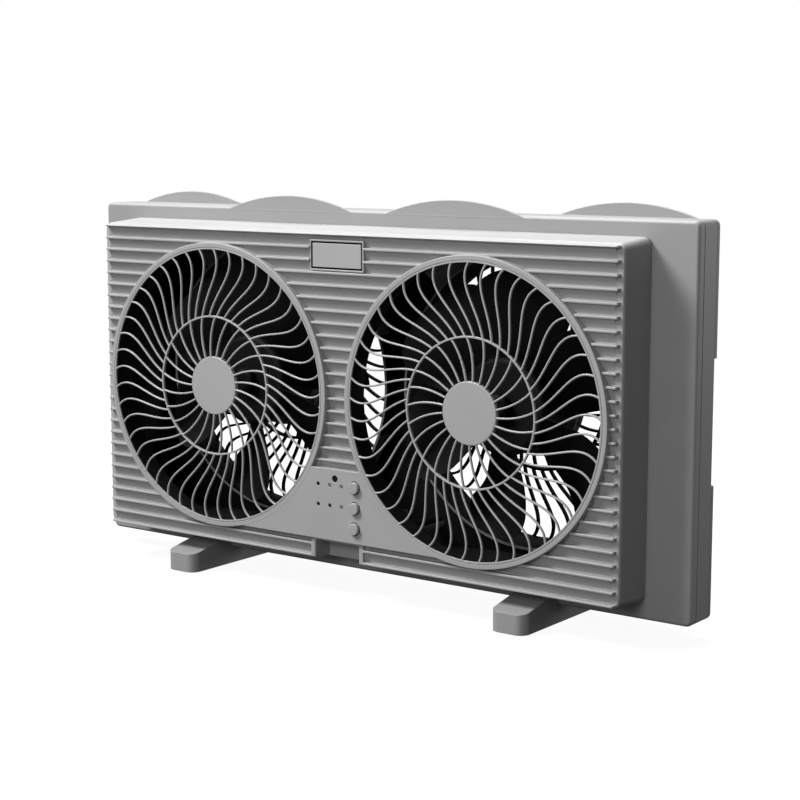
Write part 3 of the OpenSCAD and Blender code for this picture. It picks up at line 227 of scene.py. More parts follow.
def rod_profile(r, y0, y1, edge):
    """Half section of a solid disc or rod with softened edges."""
    return ([(0, y0)] + arc(r - edge, y0 + edge, edge, -90, 0, 3)
            + arc(r - edge, y1 - edge, edge, 0, 90, 3) + [(0, y1)])


def tidy(bm):
    bmesh.ops.remove_doubles(bm, verts=bm.verts, dist=0.002 * MM)
    bmesh.ops.delete(bm, geom=[e for e in bm.edges if not e.link_faces], context="EDGES")
    bmesh.ops.recalc_face_normals(bm, faces=bm.faces)


def new_object(name, data):
    obj = bpy.data.objects.new(name, data)
    bpy.context.scene.collection.objects.link(obj)
    return obj


def object_from(bm, name):
    mesh = bpy.data.meshes.new(name)
    bm.to_mesh(mesh)
    bm.free()
    return new_object(name, mesh)


def build(name, *parts):
    """One object from functions that each add to a bmesh."""
    bm = bmesh.new()
    for part in parts:
        part(bm)
    tidy(bm)
    return object_from(bm, name)


def flatten(obj):
    """Turns what the object's modifiers make of it into its plain mesh."""
    bpy.context.view_layer.update()
    graph = bpy.context.evaluated_depsgraph_get()
    mesh = bpy.data.meshes.new_from_object(obj.evaluated_get(graph))
    obj.modifiers.clear()
    old = obj.data
    obj.data = mesh
    bpy.data.meshes.remove(old)


def combine(target, tool, operation):
    """Cuts the tool out of the target, or adds it, and deletes the tool."""
    step = target.modifiers.new(operation.lower(), "BOOLEAN")
    step.operation, step.solver, step.object = operation, "EXACT", tool
    flatten(target)
    bpy.data.objects.remove(tool)


def join(target, *others):
    bm = bmesh.new()
    for o in (target, *others):
        bm.from_mesh(o.data)
    bm.to_mesh(target.data)
    bm.free()
    for o in others:
        bpy.data.objects.remove(o)


def soften(obj, angle=35):
    """Smooth shading up to an angle, with flat faces kept flat."""
    obj.data.shade_smooth()
    obj.data.set_sharp_from_angle(angle=math.radians(angle))
    obj.modifiers.new("flat_faces", "WEIGHTED_NORMAL").keep_sharp = True
    flatten(obj)


def dress(obj, materials, body, node):
    """Gives a finished piece its materials and its place in the frame."""
    for m in materials[len(obj.data.materials):]:
        obj.data.materials.append(m)
    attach(obj, body)
    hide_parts(node)


# ---- Materials ----

def linear(hex_colour):
    """sRGB hex to the linear colour that the shaders take."""
    values = [int(hex_colour[i:i + 2], 16) / 255 for i in (1, 3, 5)]
    return tuple(v / 12.92 if v <= 0.04045 else ((v + 0.055) / 1.055) ** 2.4 for v in values) + (1.0,)


def add(tree, kind, settings=None, **links):
    """Adds a node, sets its attributes and sockets, and links its inputs by name or number."""
    n = tree.nodes.new(kind)
    for key, value in (settings or {}).items():
        if isinstance(key, str) and hasattr(n, key):
            setattr(n, key, value)
        else:
            n.inputs[key].default_value = value
    for key, source in links.items():
        place = int(key[1:]) if key[0] == "_" else key.replace("_", " ")
        tree.links.new(source, n.inputs[place])
    return n


def blank(name):
    """A new material with its Principled shader."""
    m = bpy.data.materials.new(name)
    m.use_nodes = True
    return m, m.node_tree, m.node_tree.nodes["Principled BSDF"]


FLOW_MM, SOFT_EDGE_MM = 60, 0.5


def moulded(name, hex_colour, hex_light, roughness, grain_mm=0.9, grain_depth=0.035, ior=1.54,
            shine=0.5):
    """Injection-moulded plastic: a spark-eroded grain, faint flow marks, and softly rounded edges."""
    m, tree, shader = blank(name)
    place = add(tree, "ShaderNodeTexCoord").outputs["Object"]
    flow = add(tree, "ShaderNodeTexNoise", {"Scale": 1 / (FLOW_MM * MM), "Detail": 3.0, "Roughness": 0.55},
               Vector=place)
    tone = add(tree, "ShaderNodeMix", {"data_type": "RGBA", 6: linear(hex_colour), 7: linear(hex_light)},
               _0=flow.outputs["Fac"])
    grain = add(tree, "ShaderNodeTexNoise", {"Scale": 1 / (grain_mm * MM), "Detail": 2.0}, Vector=place)
    gloss = add(tree, "ShaderNodeMapRange", {"From Min": 0.3, "From Max": 0.7, "To Min": roughness - 0.05,
                                              "To Max": roughness + 0.06}, Value=grain.outputs["Fac"])
    edge = add(tree, "ShaderNodeBevel", {"samples": 4, "Radius": SOFT_EDGE_MM * MM})
    bump = add(tree, "ShaderNodeBump", {"Strength": 0.25, "Distance": grain_depth * MM},
               Height=grain.outputs["Fac"], Normal=edge.outputs["Normal"])
    tree.links.new(tone.outputs[2], shader.inputs["Base Color"])
    tree.links.new(gloss.outputs["Result"], shader.inputs["Roughness"])
    tree.links.new(bump.outputs["Normal"], shader.inputs["Normal"])
    shader.inputs["IOR"].default_value = ior
    shader.inputs["Specular IOR Level"].default_value = shine
    return m


def metal(name, hex_colour, hex_dark, roughness, spot_mm, stripe_mm=None):
    """Bare or plated metal with small tone spots, and fine lines along the depth where it is stacked."""
    m, tree, shader = blank(name)
    place = add(tree, "ShaderNodeTexCoord").outputs["Object"]
    spots = add(tree, "ShaderNodeTexNoise", {"Scale": 1 / (spot_mm * MM), "Detail": 4.0}, Vector=place)
    height = spots.outputs["Fac"]
    if stripe_mm:
        lines = add(tree, "ShaderNodeTexWave", {"bands_direction": "Y", "Scale": 0.05 / (stripe_mm * MM),
                                                 "Distortion": 0.3}, Vector=place)
        height = add(tree, "ShaderNodeMath", {"operation": "MULTIPLY"}, _0=spots.outputs["Fac"],
                     _1=lines.outputs["Fac"]).outputs[0]
    tone = add(tree, "ShaderNodeMix", {"data_type": "RGBA", 6: linear(hex_dark), 7: linear(hex_colour)},
               _0=height)
    gloss = add(tree, "ShaderNodeMapRange", {"To Min": roughness - 0.08, "To Max": roughness + 0.1},
                Value=height)
    bump = add(tree, "ShaderNodeBump", {"Strength": 0.3, "Distance": 0.05 * MM}, Height=height)
    tree.links.new(tone.outputs[2], shader.inputs["Base Color"])
    tree.links.new(gloss.outputs["Result"], shader.inputs["Roughness"])
    tree.links.new(bump.outputs["Normal"], shader.inputs["Normal"])
    shader.inputs["Metallic"].default_value = 1.0
    return m


# Satin grey ABS from a spark-eroded mould: even, with a fine grain that spreads its highlights.
cover_abs = moulded("moulded_grey_abs_cover", "#8d8d8d", "#969696", 0.5)
# The same ABS from the frame's mould.
frame_abs = moulded("moulded_grey_abs_frame", "#838383", "#8d8d8d", 0.5)
# The grilles' ABS, a little lighter and shinier, because their mould is polished.
grille_abs = moulded("moulded_light_grey_abs_grille", "#929292", "#9a9a9a", 0.36, grain_depth=0.02)
# The blank badge plate: light satin ABS.
badge_abs = moulded("moulded_light_grey_abs_badge", "#939393", "#9b9b9b", 0.42)
# Push buttons: light ABS, polished by fingers.
button_abs = moulded("moulded_light_grey_abs_button", "#8e8e8e", "#979797", 0.36, grain_depth=0.02)
# Black ABS used as painted shade inside the fan: on the walls of the ducts and throats, in the hollows, the
# panel's holes and the badge's gap, on the grilles' skirts and the rear grilles. Dull, it swallows the
# light.
shade_black = moulded("painted_shade_black_abs", "#0b0b0b", "#0f0f0f", 0.7, shine=0.12)
# Polypropylene fan wheels, waxy and near-black: the near-black is partly the plastic's own colour and
# partly painted shade inside the ducts.
fan_pp = moulded("moulded_polypropylene_fan_shade_black", "#090909", "#0d0d0d", 0.6, ior=1.49, shine=0.15)
# Smoked polycarbonate light pipes: black, with a faint gloss.
smoked_pc = moulded("moulded_smoked_polycarbonate", "#060606", "#090909", 0.3, grain_depth=0.004, ior=1.58,
                    shine=0.25)
# Frosted polycarbonate light pipes over unlit lamps: mid grey.
frosted_pc = moulded("moulded_frosted_polycarbonate", "#5c5c5c", "#666666", 0.3, grain_depth=0.01, ior=1.58)
# Black glass-filled PBT of the switches.
switch_pbt = moulded("moulded_black_pbt", "#151515", "#1c1c1c", 0.4, ior=1.6)
# Vinyl sheet of the bellows, embossed like leather.
bellows_vinyl = moulded("embossed_grey_vinyl", "#4a4a4a", "#555555", 0.5, grain_mm=1.2, grain_depth=0.12)
# Rubber gland, matt from talc.
gland_rubber = moulded("moulded_black_rubber", "#141414", "#202020", 0.7, ior=1.52)
# Green solder mask over glass epoxy: the copper shows as lighter patches.
board_fr4 = moulded("solder_masked_glass_epoxy", "#12381f", "#1d5030", 0.25, grain_mm=4, grain_depth=0.03)
# Zinc-plated steel screws.
screw_steel = metal("zinc_plated_steel", "#b8babd", "#8f9296", 0.3, 2.0)
# Ground steel shafts.
shaft_steel = metal("ground_steel", "#c0c1c3", "#9fa1a4", 0.2, 1.0)
# Deep-drawn galvanised motor bells.
bell_steel = metal("deep_drawn_galvanised_steel", "#a9abad", "#808386", 0.38, 5.0)
# Stamped laminations, 0.5 mm each, under varnish.
stator_steel = metal("varnished_steel_laminations", "#5d5f63", "#2c2d30", 0.45, 3.0, stripe_mm=0.5)
# The rotor's turned lamination stack.
core_steel = metal("turned_steel_laminations", "#8c8e91", "#5a5c5f", 0.35, 3.0, stripe_mm=0.5)
# Enamelled copper wire.
winding_copper = metal("enamelled_copper_wire", "#b4643a", "#6a331a", 0.3, 0.6)
# Sintered bronze bushes, porous with oil.
bush_bronze = metal("sintered_bronze", "#a88452", "#6f5430", 0.45, 0.6)


# ---- Front cover ----

def groove_loops(x0, x1, z0, z1, deep, shallow, mouth_round, floor_round, end_r, end_slope=0.0):
    """Loops of a cutter for one groove: a flared mouth, ends that slope near the floor, and a filleted
    floor that lies deepest at its lower edge."""
    slope_top = STRAIGHT_SHARE * deep

    def loop(depth, outset):
        end = end_slope * max(depth - slope_top, 0) / (deep - slope_top)
        outline = soft_rect(x0 - outset + end, x1 + outset - end, z0 - outset, z1 + outset,
                            max(end_r + outset, 0.3))
        falls = [min(max((z1 - z) / (z1 - z0), 0), 1) for _, z in outline]
        lean = [(shallow + (deep - shallow) * fall) / deep for fall in falls]
        return [(x, FACE_Y + depth * (k if depth > 0 else 1), z) for (x, z), k in zip(outline, lean)]
    loops = [loop(-1.0, mouth_round)]
    loops += [loop(v, mouth_round - u) for u, v in arc(0, mouth_round, mouth_round, -90, 0, 4)]
    loops += [loop(slope_top, 0)]
    loops += [loop(v, -floor_round + u) for u, v in arc(0, deep - floor_round, floor_round, 0, 90, 3)]
    return loops


def rib_z(k):
    return FACE_Z0 + RIB_LOW + k * (FACE_Z1 - FACE_Z0 - RIB_LOW - RIB_HIGH) / (RIB_COUNT - 1)


def groove_heights(k):
    """Lower and upper edge of the groove above nose k."""
    top = rib_z(k + 1) - RIB_NOSE / 2 if k < RIB_COUNT - 1 else FACE_Z1 - TOP_BORDER
    return rib_z(k) + RIB_NOSE / 2, top


def add_grooves(bm):
    """The grooves between the rib noses; the lowest ones stop short of the notch."""
    edge_x = COVER_X - RIB_END + GROOVE_PAST
    for k in range(RIB_COUNT):
        z0, z1 = groove_heights(k)
        spans = [(-edge_x, edge_x)]
        if z0 < NOTCH_TOP:
            spans = [(-edge_x, -NOTCH_X - NOTCH_BORDER), (NOTCH_X + NOTCH_BORDER, edge_x)]
        for x0, x1 in spans:
            add_loft(bm, groove_loops(x0, x1, z0, z1, GROOVE_DEEP, GROOVE_SHALLOW, NOSE_ROUND,
                                      FLOOR_ROUND, GROOVE_END_R, END_SLOPE))


def add_box_shell(bm, face_y, base_y, draft_angle, edge_in, edge_back, skin):
    """A drafted box that is open at its base: face, rounded edge, outer walls, foot and hollow."""
    way = 1 if base_y > face_y else -1
    length = abs(base_y - face_y)
    slope = math.tan(math.radians(draft_angle))

    def loop(depth, inset):
        rise = (length - depth) * slope
        outline = soft_rect(-COVER_X + inset, COVER_X - inset, COVER_Z0 + rise + inset,
                            COVER_Z1 - rise - inset, max(CORNER_R - inset, 0.6))
        return at_depth(outline, face_y + way * depth)
    loops = [loop(edge_back - v, edge_in - u)
             for u, v in [(edge_in * c, edge_back * d) for c, d in arc(0, 0, 1, 90, 0, 8)]]
    loops += [loop(length - 0.4, 0), loop(length, 0.4), loop(length, WALL), loop(skin, WALL)]
    add_loft(bm, loops)


def add_tub(bm):
    border_y = FACE_Y + BORDER_BACK
    add_box_shell(bm, border_y, COVER_BACK_Y, COVER_DRAFT, EDGE_IN, EDGE_BACK, SKIN_Y - border_y)


def add_rib_block(bm):
    """The block that the ribs are cut from, proud of the cover's border, with softened edges."""
    x, z0, z1 = COVER_X - RIB_END, FACE_Z0 + BLOCK_LOW, FACE_Z1 - BLOCK_HIGH
    end, up, back = BLOCK_ROUND

    def loop(c, d):
        inset, lift = end - end * c, up - up * c
        outline = soft_rect(-x + inset, x - inset, z0 + lift, z1 - lift, BLOCK_CORNER)
        return at_depth(outline, FACE_Y + back - back * d)
    loops = [loop(c, d) for c, d in arc(0, 0, 1, 90, 0, 6)]
    loops.append(at_depth(soft_rect(-x, x, z0, z1, BLOCK_CORNER), FACE_Y + BORDER_BACK + BLOCK_SINK))
    add_loft(bm, loops)


def add_end_cutters(bm):
    """Frees the ends of the noses down to the border."""
    for k in range(RIB_COUNT):
        z0, z1 = groove_heights(k)
        for side in SIDES.values():
            x0, x1 = sorted((side * (COVER_X - SIDE_BORDER), side * (COVER_X + 1)))
            add_block(bm, x0, x1, FACE_Y - 1, FACE_Y + BORDER_BACK + CLEAR, z0 - CLEAR, z1 + CLEAR, 0.3)


def add_bead(bm):
    """The lip that closes the top border: a low round bar."""
    half, z = BEAD_H / 2, FACE_Z1 - TOP_BORDER + BEAD_LIFT + BEAD_H / 2
    edge_x = COVER_X - RIB_END - BEAD_SHORT
    section = [(FACE_Y - BEAD_PROUD * math.sin(math.radians(a)), z + half * math.cos(math.radians(a)))
               for a in range(0, 181, 20)] + [(FACE_Y + 3, z - half), (FACE_Y + 3, z + half)]
    ends = [(-edge_x - 1.2, 0.15), (-edge_x, 0.8), (-edge_x + 1.5, 1), (edge_x - 1.5, 1), (edge_x, 0.8),
            (edge_x + 1.2, 0.15)]
    add_loft(bm, [[(x, FACE_Y + (y - FACE_Y) * (k if y < FACE_Y else 1), zz) for y, zz in section]
                  for x, k in ends])


def add_openings(bm):
    for side in SIDES.values():
        circle = [polar(OPENING_R, 360 * k / COLLAR_STEPS) for k in range(COLLAR_STEPS)]
        outline = [(side * FAN_X + px, AXIS_Z + pz) for px, pz in circle]
        add_loft(bm, [at_depth(outline, y) for y in (RIM_Y - 5, SKIN_Y + 5)])


def add_notch_cutter(bm):
    add_loft(bm, groove_loops(-NOTCH_X, NOTCH_X, COVER_Z0 - 20, NOTCH_TOP, NOTCH_DEPTH, NOTCH_DEPTH,
                              mouth_round=1.4, floor_round=0.6, end_r=1.5))


def add_notch_box(bm):
    """Walls behind the notch, a little outside its cutter."""
    inside, out, back = NOTCH_X + CLEAR, NOTCH_X + WALL, FACE_Y + NOTCH_DEPTH + CLEAR
    outer = [(-out, back + WALL), (out, back + WALL), (out, SKIN_Y - 1), (inside, SKIN_Y - 1),
             (inside, back), (-inside, back), (-inside, SKIN_Y - 1), (-out, SKIN_Y - 1)]
    floor = COVER_Z0 + (COVER_BACK_Y - back) * math.tan(math.radians(COVER_DRAFT)) + 0.3
    add_loft(bm, [[(x, y, z) for x, y in outer] for z in (floor, NOTCH_TOP + WALL)])
    lid = [(-out + 0.1, SKIN_Y - 1), (out - 0.1, SKIN_Y - 1), (out - 0.1, back + WALL - 0.1),
           (-out + 0.1, back + WALL - 0.1)]
    add_loft(bm, [[(x, y, z) for x, y in lid] for z in (NOTCH_TOP + CLEAR, NOTCH_TOP + WALL - 0.1)])


def collar_profile(edge_y, way, foot_r):
    """Rim with its outer slope, grille ledge and throat; way is the direction in from the rim's edge."""
    soft, inner = 0.9, 0.2
    points = arc(RIM_IN_R + inner, inner, inner, 180, 270, 3)
    points += arc(RIM_OUT_R - soft, soft, soft, -90, -15, 4)
    points += [(foot_r, RIM_SLOPE_DEPTH), (THROAT_OUT_R, RIM_SLOPE_DEPTH + 1), (THROAT_OUT_R, COLLAR_DEPTH),
               (THROAT_R, COLLAR_DEPTH), (GRILLE_R - 1, LEDGE_BACK), (GRILLE_R - 1, LEDGE_DEPTH),
               (RIM_IN_R, LEDGE_DEPTH)]
    return [(r, edge_y + way * v) for r, v in points]


def build_collars(name, *measures):
    """The two rims of one face."""
    profile = collar_profile(*measures)
    return build(name, *[lambda bm, s=s: add_lathe(bm, profile, s * FAN_X, AXIS_Z, COLLAR_STEPS)
                         for s in SIDES.values()])


def panel_outline(z0, z1, clear_r, steps=24):
    """The space between the two rims, from the lower left corner round."""
    def edge(z):
        return FAN_X - math.sqrt(clear_r ** 2 - (z - AXIS_Z) ** 2)
    heights = [z0 + (z1 - z0) * k / steps for k in range(steps + 1)]
    return [(edge(z), z) for z in heights] + [(-edge(z), z) for z in reversed(heights)]


def add_panel(bm):
    """The flush control panel, with rounded upper and lower edges."""
    soft, lift = 0.45, 0.04
    loops = [at_depth(panel_outline(PANEL_Z0 + soft - u, PANEL_Z1 - soft + u, OPENING_R + 0.8),
                      RIM_Y + lift + soft - v) for u, v in arc(0, 0, soft, 90, 0, 4)]
    loops += [at_depth(panel_outline(PANEL_Z0, PANEL_Z1, OPENING_R + 0.8), SKIN_Y - 0.5),
              at_depth(panel_outline(PANEL_Z0 + WALL, PANEL_Z1 - WALL, RIM_OUT_R + 1), SKIN_Y - 0.5),
              at_depth(panel_outline(PANEL_Z0 + WALL, PANEL_Z1 - WALL, RIM_OUT_R + 1), RIM_Y + WALL)]
    add_loft(bm, loops)


BUTTON_LOW, BUTTON_HIGH = limits("button_power")
BUTTON_X = (BUTTON_LOW.x + BUTTON_HIGH.x) / 2
BUTTON_R = 5.1
WINDOWS = [(-18 + 12.5 * column, AXIS_Z - 74 - 17.4 * row, dim)
           for row, dims in enumerate(((0, 1, 1), (0, 0, 1))) for column, dim in enumerate(dims)]
RECEIVER = (0.0, AXIS_Z - 68)
WINDOW_R, RECEIVER_R = 1.5, 2.75


def button_z(name):
    low, high = limits(name)
    return (low.z + high.z) / 2


BUTTONS = ("button_power", "button_speed", "button_airflow")
PANEL_HOLES = [(BUTTON_X, button_z(n), BUTTON_R + 0.5) for n in BUTTONS]
PANEL_HOLES += [(x, z, WINDOW_R + 0.1) for x, z, _ in WINDOWS] + [(*RECEIVER, RECEIVER_R + 0.1)]


def add_panel_holes(bm):
    for x, z, r in PANEL_HOLES:
        profile = [(0, RIM_Y - 2), (r + 0.3, RIM_Y - 2), (r + 0.3, RIM_Y), (r, RIM_Y + 0.35),
                   (r, RIM_Y + WALL + 1), (0, RIM_Y + WALL + 1)]
        add_lathe(bm, profile, x, z, 40)


BADGE_W, BADGE_H, BADGE_BORDER, BADGE_GAP = 57.0, 26.0, 1.6, 1.4
BADGE_BITE = 0.15  # how far the ribbed wall reaches into the badge's frame
BADGE_FRONT_Y = FACE_Y + 1.3
BADGE_FLOOR_Y = BADGE_FRONT_Y + 2.8


def badge_loop(inset, y, r):
    return at_depth(soft_rect(-BADGE_W / 2 + inset, BADGE_W / 2 - inset, BADGE_Z - BADGE_H / 2 + inset,
                              BADGE_Z + BADGE_H / 2 - inset, r), y)


def add_badge_frame(bm):
    """The raised border round the badge, with the floor that the plate lies on."""
    soft = 0.5
    loops = [badge_loop(0, SKIN_Y - 1, 1.2)]
    loops += [badge_loop(soft - u, BADGE_FRONT_Y + soft - v, 1.2) for u, v in arc(0, 0, soft, 0, 90, 3)]
    loops += [badge_loop(BADGE_BORDER - soft + u, BADGE_FRONT_Y + soft - v, 0.8)
              for u, v in arc(0, 0, soft, 90, 0, 3)]
    loops += [badge_loop(BADGE_BORDER, BADGE_FLOOR_Y, 0.8)]
    add_loft(bm, loops)


def add_badge_cutter(bm):
    """The place of the badge's frame in the ribbed wall."""
    add_loft(bm, [badge_loop(BADGE_BITE, y, 1.2) for y in (FACE_Y - 3, SKIN_Y - 2)])


def add_pass_cutter(bm):
    """The opening behind the panel for the plungers and the light pipes."""
    left, right, low, high = -24, BUTTON_X + 7.5, PANEL_Z0 + 6, PANEL_Z1 - 4
    add_block(bm, left, right, FACE_Y - 1, SKIN_Y + 2, low, high, 0.5)


def looks_inward(face):
    """True for the inner side of a wall, and for what faces the rear."""
    from_axis = Vector((face.center.x, 0, face.center.z - AXIS_Z * MM))
    return face.normal.y > 0.5 or face.normal.dot(from_axis) < 0


def corners(obj, face):
    """The middle and the corners of a face, in millimetres."""
    return [face.center / MM] + [obj.data.vertices[i].co / MM for i in face.vertices]


def in_throat(obj, face, y0, y1):
    """True for a face whose middle and corners all lie within a throat and between two depths."""
    return all(y0 < y < y1 and math.hypot(abs(x) - FAN_X, z - AXIS_Z) < THROAT_R + 0.6
               for x, y, z in corners(obj, face))


def in_shaded_badge_gap(obj, face):
    """True for the floor and the inner walls of the badge's frame, which are painted black as the shade in
    the gap round the plate.
    """
    half_w, half_h = BADGE_W / 2 - BADGE_BORDER + 0.05, BADGE_H / 2 - BADGE_BORDER + 0.05
    return all(abs(x) < half_w and abs(z - BADGE_Z) < half_h and BADGE_FRONT_Y + 0.3 < y < SKIN_Y
               for x, y, z in corners(obj, face))


def in_notch(face):
    """True for the notch's walls and ceiling, which stay grey."""
    c = face.center / MM
    return abs(c.x) < NOTCH_X + 0.5 and c.z < NOTCH_TOP + 0.5 and c.y < FACE_Y + NOTCH_DEPTH + 0.5


def in_shaded_hole(face):
    """True for the walls of the panel's holes, which are painted black as the shade behind their mouths."""
    c = face.center / MM
    return (RIM_Y + 0.3 <= c.y <= RIM_Y + WALL - 0.05
            and any(math.hypot(c.x - x, c.z - z) < r + 0.1 for x, z, r in PANEL_HOLES))


def make_cover():
    cover = build("front_cover_shell", add_tub)
    combine(cover, build("rib_block", add_rib_block), "UNION")
    for add_cutter in (add_grooves, add_end_cutters, add_openings, add_notch_cutter, add_badge_cutter,
                       add_pass_cutter):
        combine(cover, build("cutter", add_cutter), "DIFFERENCE")
    panel = build("control_panel", add_panel)
    combine(panel, build("panel_hole_cutters", add_panel_holes), "DIFFERENCE")
    badge = build("badge_frame", add_badge_frame)
    notch = build("notch_box", add_notch_box)
    collars = build_collars("front_collars", RIM_Y, 1, RIM_SLOPE_R)
    join(cover, panel, badge, notch, collars, build("border_lip", add_bead))
    soften(cover)
    # The hollow behind the ribbed wall, the throats, the badge's gap and the holes' walls take the black
    # material as painted shade.
    for face in cover.data.polygons:
        behind = SKIN_Y - 0.1 < face.center.y / MM < COVER_BACK_Y - 0.5
        hollow = behind and looks_inward(face) and not in_notch(face)
        dark = in_throat(cover, face, RIM_Y + 0.8, 0) or in_shaded_badge_gap(cover, face) or in_shaded_hole(face)
        face.material_index = int(hollow or dark)
    dress(cover, [cover_abs, shade_black], "root", "front_cover")


def make_badge_plate():
    gap = BADGE_BORDER + BADGE_GAP
    soft = 0.35
    front = BADGE_FRONT_Y + 0.3
    loops = [badge_loop(gap, BADGE_FLOOR_Y, 0.6)]
    loops += [badge_loop(gap + soft - u, front + soft - v, 0.6) for u, v in arc(0, 0, soft, 0, 90, 3)]
    plate = build("badge_plate_blank", lambda bm: add_loft(bm, loops))
    soften(plate)
    dress(plate, [badge_abs], "root", "badge_plate")


# ---- Grilles, by geometry nodes ----

def spoke_tree():
    """Spokes whose angle grows with a cubic law from an inner to an outer radius."""
    tree = bpy.data.node_groups.new("swirled_spokes", "GeometryNodeTree")
    kinds = dict.fromkeys(("Inner Radius", "Outer Radius", "Start Angle", "Bend 1", "Bend 2", "Bend 3",
                           "Width", "Depth", "Rounding"), "NodeSocketFloat")
    kinds = {"Spoke Count": "NodeSocketInt", "Steps": "NodeSocketInt", **kinds,
             "Material": "NodeSocketMaterial"}
    ids = {name: tree.interface.new_socket(name=name, in_out="INPUT", socket_type=kind).identifier
           for name, kind in kinds.items()}
    tree.interface.new_socket(name="Geometry", in_out="OUTPUT", socket_type="NodeSocketGeometry")
    given = tree.nodes.new("NodeGroupInput").outputs

    line = add(tree, "GeometryNodeCurvePrimitiveLine", {"End": (1, 0, 0)})
    steps = add(tree, "GeometryNodeResampleCurve", Curve=line.outputs[0], Count=given["Steps"])
    place = add(tree, "GeometryNodeInputPosition")
    share = add(tree, "ShaderNodeSeparateXYZ", Vector=place.outputs[0]).outputs["X"]
    radius = add(tree, "ShaderNodeMapRange", {}, Value=share, To_Min=given["Inner Radius"],
                 To_Max=given["Outer Radius"]).outputs[0]
    angle = given["Bend 3"]
    for term in ("Bend 2", "Bend 1", "Start Angle"):
        angle = add(tree, "ShaderNodeMath", {"operation": "MULTIPLY_ADD"}, _0=share, _1=angle,
                    _2=given[term]).outputs[0]
    across = add(tree, "ShaderNodeMath", {"operation": "COSINE"}, _0=angle)
    up = add(tree, "ShaderNodeMath", {"operation": "SINE"}, _0=angle)
    unit = add(tree, "ShaderNodeCombineXYZ", X=across.outputs[0], Y=up.outputs[0])
    point = add(tree, "ShaderNodeVectorMath", {"operation": "SCALE"}, _0=unit.outputs[0], Scale=radius)
    bent = add(tree, "GeometryNodeSetPosition", Geometry=steps.outputs[0], Position=point.outputs[0])

    spots = add(tree, "GeometryNodePoints", Count=given["Spoke Count"])
    step = add(tree, "ShaderNodeMath", {"operation": "DIVIDE", 0: math.tau}, _1=given["Spoke Count"])
    index = add(tree, "GeometryNodeInputIndex")
    turn = add(tree, "ShaderNodeMath", {"operation": "MULTIPLY"}, _0=index.outputs[0], _1=step.outputs[0])
    turned = add(tree, "ShaderNodeCombineXYZ", Z=turn.outputs[0])
    copies = add(tree, "GeometryNodeInstanceOnPoints", Points=spots.outputs[0], Instance=bent.outputs[0],
                 Rotation=turned.outputs[0])
    plain = add(tree, "GeometryNodeRealizeInstances", Geometry=copies.outputs[0])
    upright = add(tree, "GeometryNodeSetCurveNormal", {"mode": "Z_UP"}, Curve=plain.outputs[0])
    section = add(tree, "GeometryNodeCurvePrimitiveQuadrilateral", Width=given["Width"],
                  Height=given["Depth"])
    round_section = add(tree, "GeometryNodeFilletCurve", {"mode": "POLY", "Count": 3},
                        Curve=section.outputs[0], Radius=given["Rounding"])
    skin = add(tree, "GeometryNodeCurveToMesh", {"Fill Caps": True}, Curve=upright.outputs[0],
               _1=round_section.outputs[0])
    dressed = add(tree, "GeometryNodeSetMaterial", Geometry=skin.outputs[0], Material=given["Material"])
    add(tree, "NodeGroupOutput", Geometry=dressed.outputs[0])
    return tree, ids


SPOKES, SPOKE_IDS = spoke_tree()


def spokes(name, values):
    """One object of swirled spokes about the origin, in its own XY plane."""
    obj = new_object(name, bpy.data.meshes.new(name))
    step = obj.modifiers.new("spokes", "NODES")
    step.node_group = SPOKES
    for key, value in values.items():
        step[SPOKE_IDS[key]] = value
    flatten(obj)
    return obj


def spoke_rings(name, hand, material, width, depth):
    """The inner and outer spokes of one grille; hand is -1 for the mirrored pattern."""
    mid = math.radians(180 if hand < 0 else 0)
    shared = {"Width": width * MM, "Depth": depth * MM, "Rounding": 0.42 * width * MM, "Material": material}

    def turn(degrees):
        return hand * math.radians(degrees)

    inner = spokes(name + "_inner", {
        **shared, "Spoke Count": 25, "Steps": 12, "Inner Radius": DISC_R * MM,
        "Outer Radius": MID_RING_R * MM, "Start Angle": mid + turn(-3.1), "Bend 1": turn(4.3),
        "Bend 2": turn(5.1), "Bend 3": 0.0})
    outer = spokes(name + "_outer", {
        **shared, "Spoke Count": 45, "Steps": 24, "Inner Radius": MID_RING_R * MM,
        "Outer Radius": (GRILLE_R - 0.75) * MM, "Start Angle": mid + turn(6.3), "Bend 1": turn(23.6),
        "Bend 2": turn(10.56), "Bend 3": turn(-21.82)})
    join(inner, outer)
    inner.name = name
    return inner


def ring_profile(inner, outer, front_y, back_y, soft=0.4):
    """Section of a flat ring with rounded edges."""
    points = arc(outer - soft, front_y + soft, soft, -90, 0, 3)
    points += arc(outer - soft, back_y - soft, soft, 0, 90, 3)
    points += arc(inner + soft, back_y - soft, soft, 90, 180, 3)
    return points + arc(inner + soft, front_y + soft, soft, 180, 270, 3)


